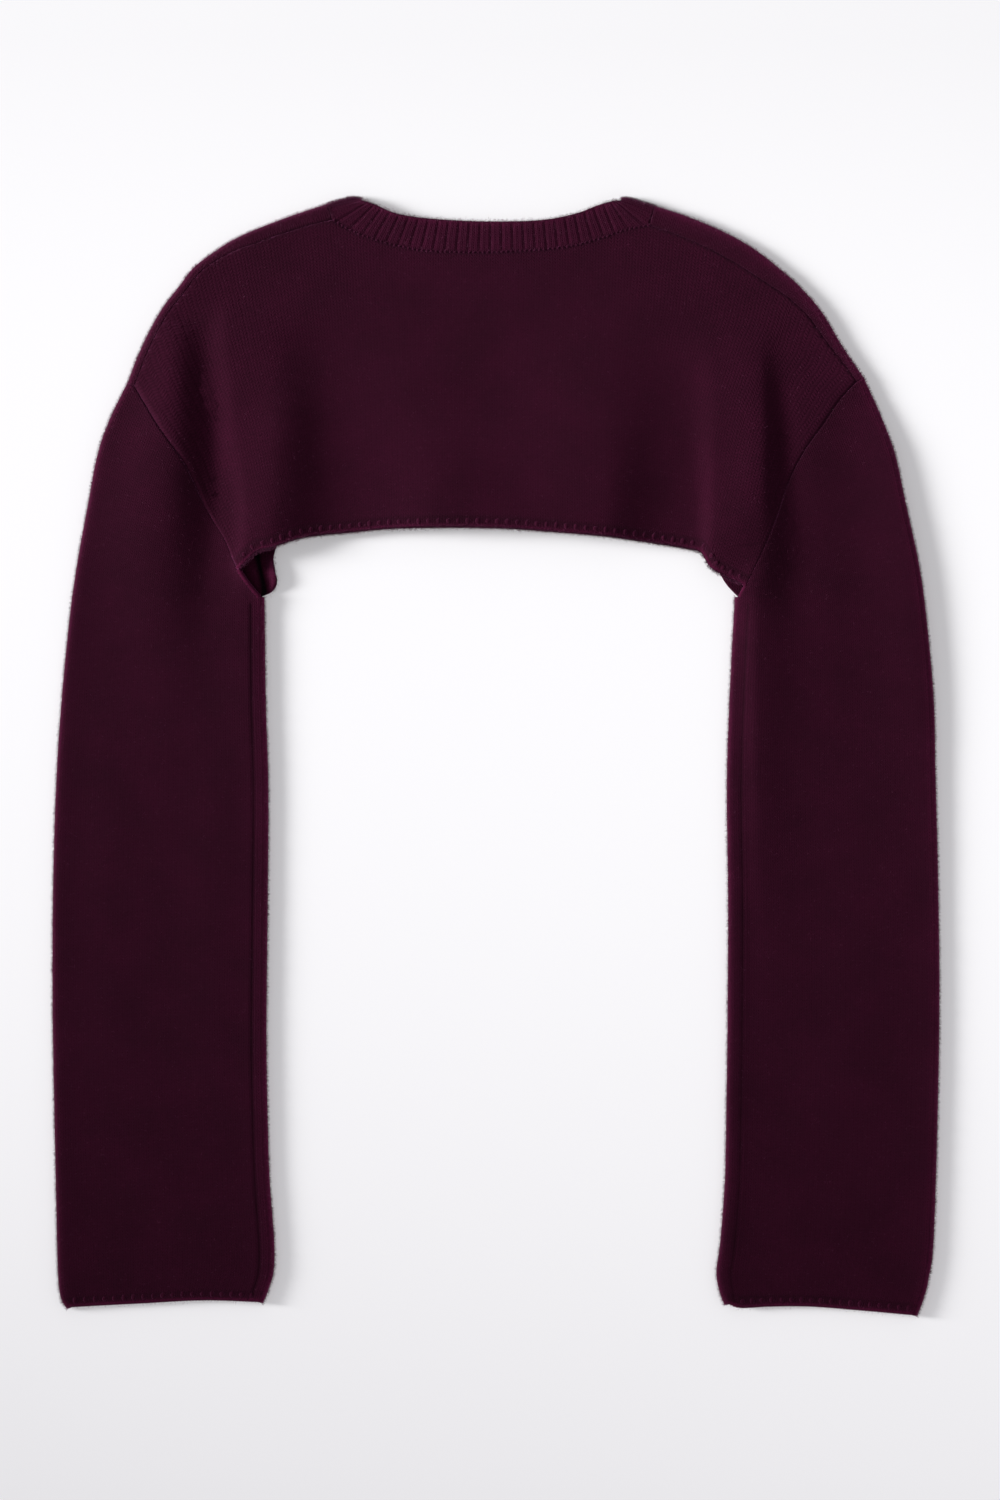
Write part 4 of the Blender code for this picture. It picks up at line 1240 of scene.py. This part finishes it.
def cuff_lines(side):
    """The cuff's edge on the upper layer, and the whole edge around the tube as a line of points."""
    outer_end, inner_end = (folds[side.name].at(folds[side.name].lengths[-1:])
                            for folds in (OUTER_FOLDS, INNER_FOLDS))
    shares = np.linspace(0, 1, CUFF_STEPS)
    upper = outer_end[0] + (inner_end[0] - outer_end[0]) * shares[:, None]
    upper += bow(mirrored(side, smooth(side.cuff)), shares)
    around = np.vstack([on_top(upper), turn(*inner_end)[1:, 0], below_flat(upper)[::-1][1:],
                        turn(*outer_end)[::-1][1:, 0]])
    return upper, around + (0, CORD_INSET, 0)


def neck_links(material):
    """The row of stitches that links the neckband to the back."""
    base = neck_base_on_top()
    shares = np.arange(0.5, length_of(base) / LINK_PITCH) * LINK_PITCH / length_of(base)
    middles = on_top(along(base, shares))
    run, side = frames(middles)
    stitches_on_top = beads(middles + (0, 0, CLOTH / 2 - LINK_SINK), run, side, LINK_SIZE)
    return make_object("neck_links", *stitches_on_top, material)


def off_seams(points):
    """Which points lie away from the seams on the upper layer, where the cloth is pressed flat."""
    seams = [neck_base_on_top()]
    for side in SIDES:
        seams += [evenly(armhole_seam(side), PATH_STEP), shoulder_seam(side)]
    tree = tree_of(np.vstack(seams))
    return distances_to(tree, points[:, :2]) > SEAM_CLEARANCE


def fibres(name, material, shells, seed):
    """Loose fibres that stand off the cloth, many at its edges and some on its face."""
    chance = np.random.default_rng(seed)
    roots, directions = [], []
    for shell, share in shells:
        points, normals, at_rim = shell.surface
        rims = np.zeros(len(points), dtype=bool)
        rims[at_rim] = True
        at_side = (np.abs(normals[:, 2]) < FACE_FACING) | rims
        edge = np.flatnonzero(at_side & (points[:, 2] > EDGE_FIBRE_LEVEL))
        edge = edge[off_seams(points[edge])]
        face = np.flatnonzero((normals[:, 2] > FACE_FACING) & ~rims)
        picks = np.concatenate([chance.choice(edge, int(EDGE_FIBRES * share)),
                                chance.choice(face, int(FACE_FIBRES * share))])
        at_edge = np.arange(len(picks)) < int(EDGE_FIBRES * share)
        out = normals[picks]
        tilt = chance.normal(size=out.shape) * np.where(at_edge, *FIBRE_TILT)[:, None]
        way = unit(out + tilt - out * np.minimum(0, (tilt * out).sum(axis=1))[:, None])
        jitter = chance.normal(size=out.shape) * FIBRE_JITTER
        jitter -= out * (jitter * out).sum(axis=1)[:, None]
        roots.append(points[picks] + jitter - out * FIBRE_ROOT)
        way[:, 2] *= np.where(at_edge, *FIBRE_RISE)
        directions.append(way * chance.uniform(*FIBRE_LENGTH, len(picks))[:, None])
    roots, directions = np.vstack(roots), np.vstack(directions)
    side = unit(np.cross(directions, chance.normal(size=directions.shape)))
    bend = side * chance.normal(size=(len(roots), 1)) * FIBRE_BEND
    width = side * FIBRE_WIDTH / 2
    middle = roots + directions * FIBRE_MIDDLE + bend
    points = np.stack([roots - width, roots + width, middle + width * FIBRE_TAPER,
                       middle - width * FIBRE_TAPER, roots + directions], axis=1)
    points[..., 2] = np.clip(points[..., 2], *FIBRE_HEIGHTS)
    base = np.arange(len(roots))[:, None] * points.shape[1]
    faces = (base + (0, 1, 2, 3)).tolist() + (base + (3, 2, 4)).tolist()
    return make_object(name, points.reshape(-1, 3), faces, material)


# Materials

class Surface:
    """A new material with short ways to add nodes, whose inputs are linked to sockets or set to values."""

    def __init__(self, name):
        self.material = bpy.data.materials.new(name)
        self.material.use_nodes = True
        self.tree = self.material.node_tree
        self.place = self.node("ShaderNodeTexCoord").outputs["Object"]

    def fill(self, inputs, values):
        """Links or sets inputs, by their names or numbers."""
        for key, value in values.items():
            if isinstance(value, bpy.types.NodeSocket):
                self.tree.links.new(value, inputs[key])
            else:
                inputs[key].default_value = value

    def node(self, kind, values=None, **settings):
        """A new node of that kind."""
        made = self.tree.nodes.new(kind)
        for name, setting in settings.items():
            setattr(made, name, setting)
        self.fill(made.inputs, values or {})
        return made

    def math(self, operation, *values):
        """The result of an operation on numbers."""
        return self.node("ShaderNodeMath", dict(enumerate(values)), operation=operation).outputs[0]

    def mix(self, share, first, second):
        """A colour that goes from the first to the second."""
        return self.node("ShaderNodeMix", {0: share, 6: first, 7: second}, data_type="RGBA").outputs[2]

    def scaled(self, colour, shade):
        """A colour made lighter or darker."""
        return self.node("ShaderNodeVectorMath", {0: colour, "Scale": shade}, operation="SCALE").outputs[0]

    def noise(self, scale, detail, roughness):
        """A random pattern from 0 to 1 all through the object."""
        values = {"Vector": self.place, "Scale": scale, "Detail": detail, "Roughness": roughness}
        return self.node("ShaderNodeTexNoise", values).outputs["Fac"]

    def ranged(self, value, start, end, low=0.0, high=1.0):
        """A value's range from start to end as one from low to high."""
        return self.node("ShaderNodeMapRange", dict(enumerate((value, start, end, low, high)))).outputs[0]

    def stored(self, name, output):
        """A value kept on the points of the pieces."""
        return self.node("ShaderNodeAttribute", attribute_name=name).outputs[output]

    def bump(self, **values):
        """A direction bent by a height."""
        return self.node("ShaderNodeBump", {"Strength": 1.0, "Distance": BUMP_DISTANCE, **values}).outputs[0]

    def finished(self, values):
        """The material, with the shader's inputs linked or set."""
        self.fill(self.tree.nodes["Principled BSDF"].inputs, values)
        return self.material


def wool(name):
    """Brushed wool knit: V-shaped stitches from the stitch coordinates, with painted shade between them, and
    fibres.
    """
    surface = Surface(name)
    math_of = surface.math
    wales_and_courses = surface.node("ShaderNodeSeparateXYZ", {0: surface.stored("knit", "Vector")}).outputs
    stray = math_of("MULTIPLY", math_of("SUBTRACT", surface.noise(*STRAY_NOISE), 0.5), STRAY)
    wale, course = (math_of("ADD", wales_and_courses[axis], stray) for axis in (0, 1))
    off_middle = math_of("ABSOLUTE", math_of("SUBTRACT", math_of("FRACT", wale), 0.5))
    side = math_of("MULTIPLY", off_middle, 2.0)
    slanted = math_of("SUBTRACT", course, math_of("MULTIPLY", side, SLANT))
    wave = math_of("ABSOLUTE", math_of("COSINE", math_of("MULTIPLY", slanted, math.pi)))
    round_leg = math_of("SINE", math_of("MULTIPLY", side, math.pi))
    leg = math_of("ADD", LEG_BASE, math_of("MULTIPLY", round_leg, 1 - LEG_BASE))
    height = math_of("MULTIPLY", math_of("POWER", wave, LEG_POWER), leg)
    fibre = surface.noise(*FIBRE_NOISE)

    # The grooves between the stitch legs get the darkest colour as painted shade.
    colour = surface.mix(surface.ranged(height, *STITCH_LIT), DARK, WOOL)
    fleck = math_of("MULTIPLY", surface.ranged(fibre, *FLECKS), FLECK_SHARE)
    colour = surface.mix(fleck, colour, LIGHT)
    cloud = surface.ranged(surface.noise(*CLOUD_NOISE), *CLOUDS)
    # The seam attribute holds painted shade and painted highlight, which darken or lighten the colour.
    seam = math_of("MULTIPLY", surface.stored("seam", "Fac"), PAINTED_SHADE_STRENGTH)
    shade = math_of("MULTIPLY", cloud, math_of("SUBTRACT", 1.0, seam))
    return surface.finished({
        "Base Color": surface.scaled(colour, shade),
        "Roughness": surface.ranged(fibre, 0.0, 1.0, *WOOL_ROUGHNESS),
        "Normal": surface.bump(Height=fibre, Normal=surface.bump(Height=height)),
        **WOOL_SHINE})


def fibre_wool(name):
    """Fine loose fibres, painted paler than the stitches for the light that shines through them."""
    surface = Surface(name)
    return surface.finished({
        "Base Color": surface.mix(surface.noise(*LOOSE_NOISE), *LOOSE_COLOURS), **LOOSE_SHINE})


def paper(name):
    """The pale surface under the garment."""
    surface = Surface(name)
    grain = surface.mix(surface.noise(*FLOOR_NOISE), *FLOOR_COLOURS)
    along_y = surface.node("ShaderNodeSeparateXYZ", {0: surface.place}).outputs[1]
    shade = surface.ranged(along_y, *FLOOR_ENDS, *FLOOR_SHADES)
    return surface.finished({"Base Color": surface.scaled(grain, shade), **FLOOR_SHINE})


# Surroundings

def camera():
    """Looks straight down from far away, framed as in the photograph."""
    data = bpy.data.cameras.new("camera")
    data.lens = LENS
    data.sensor_width = SENSOR
    data.clip_end = FARTHEST
    tall = PICTURE[1] * PIXEL * METRES
    distance = tall / SENSOR * LENS
    holder = bpy.data.objects.new("camera", data)
    x = (PICTURE[0] / 2 - CENTRE_PIXEL[0]) * PIXEL * METRES
    y = (CENTRE_PIXEL[1] - PICTURE[1] / 2) * PIXEL * METRES
    holder.location = (x, y, distance)
    bpy.context.scene.collection.objects.link(holder)
    bpy.context.scene.camera = holder


def surroundings():
    """The pale floor, one large soft light from the left, and an even sky."""
    mesh = bpy.data.meshes.new("floor")
    half = FLOOR_SIZE / 2
    corners = [(-half, -half, 0), (half, -half, 0), (half, half, 0), (-half, half, 0)]
    mesh.from_pydata(corners, [], [(0, 1, 2, 3)])
    mesh.materials.append(paper("floor"))
    floor = bpy.data.objects.new("floor", mesh)
    bpy.context.scene.collection.objects.link(floor)

    key = bpy.data.lights.new("key", "AREA")
    key.energy = KEY_ENERGY
    key.shape = "RECTANGLE"
    key.size, key.size_y = KEY_SIZE
    key.spread = math.radians(KEY_SPREAD)
    lamp = bpy.data.objects.new("key", key)
    way = Vector(KEY_FROM).normalized()
    lamp.location = Vector(KEY_TARGET) + way * KEY_DISTANCE
    lamp.rotation_mode = "QUATERNION"
    lamp.rotation_quaternion = way.to_track_quat("Z", "Y")
    bpy.context.scene.collection.objects.link(lamp)

    world = bpy.data.worlds.new("sky")
    world.use_nodes = True
    world.node_tree.nodes["Background"].inputs["Color"].default_value = SKY
    bpy.context.scene.world = world
    bpy.context.scene.view_settings.view_transform = "Standard"


def back_trim(material):
    """The back's edging along its hem, and up the open ends of the armhole seams."""
    hem = back_hem_line()
    rims = [evenly(hem - inward(hem) * CORD_INSET, CORD_STEP)]
    rims += [along(armhole_seam(side), np.linspace(side.corner, 1, UNDERARM_STEPS)) for side in SIDES]
    return edging("back_hem", material, [on_top(rim) for rim in rims], [(hem, True)])


def main():
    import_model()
    camera()
    surroundings()
    knit = wool("wool_knit")
    rib = wool("wool_rib")
    loose = fibre_wool("wool_fibre")
    back_cloth, back = back_panel(knit)
    front_cloth, front = front_panel(knit)
    band_cloth, band = neckband(rib)
    pieces = [(back, "back_panel", "knit_back"), (front, "front_panel", "knit_front"),
              (band, "neckband", "rib_knit")]
    tubes = {}
    for side in SIDES:
        cloth, tube = sleeve(side, knit)
        pieces.append((tube, f"sleeve_{side.name}", "knit_sleeve"))
        upper, around = cuff_lines(side)
        cuff = edging(f"cuff_{side.name}", knit, [around], [(upper, side.sign < 0)])
        tubes[side.name] = cloth, tube, cuff
    for piece, solid, slot in pieces:
        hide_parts(solid)
    trim = back_trim(knit)
    links = neck_links(rib)
    shells = [(back_cloth, 1.0), (front_cloth, LESS_FUZZ), (band_cloth, LESS_FUZZ)]
    fuzz = fibres("body_fuzz", loose, shells, BODY_FUZZ_SEED)
    for number, (name, (cloth, tube, cuff)) in enumerate(tubes.items()):
        fuzz = fibres(f"fuzz_{name}", loose, [(cloth, 1.0)], SLEEVE_FUZZ_SEED + number)


main()
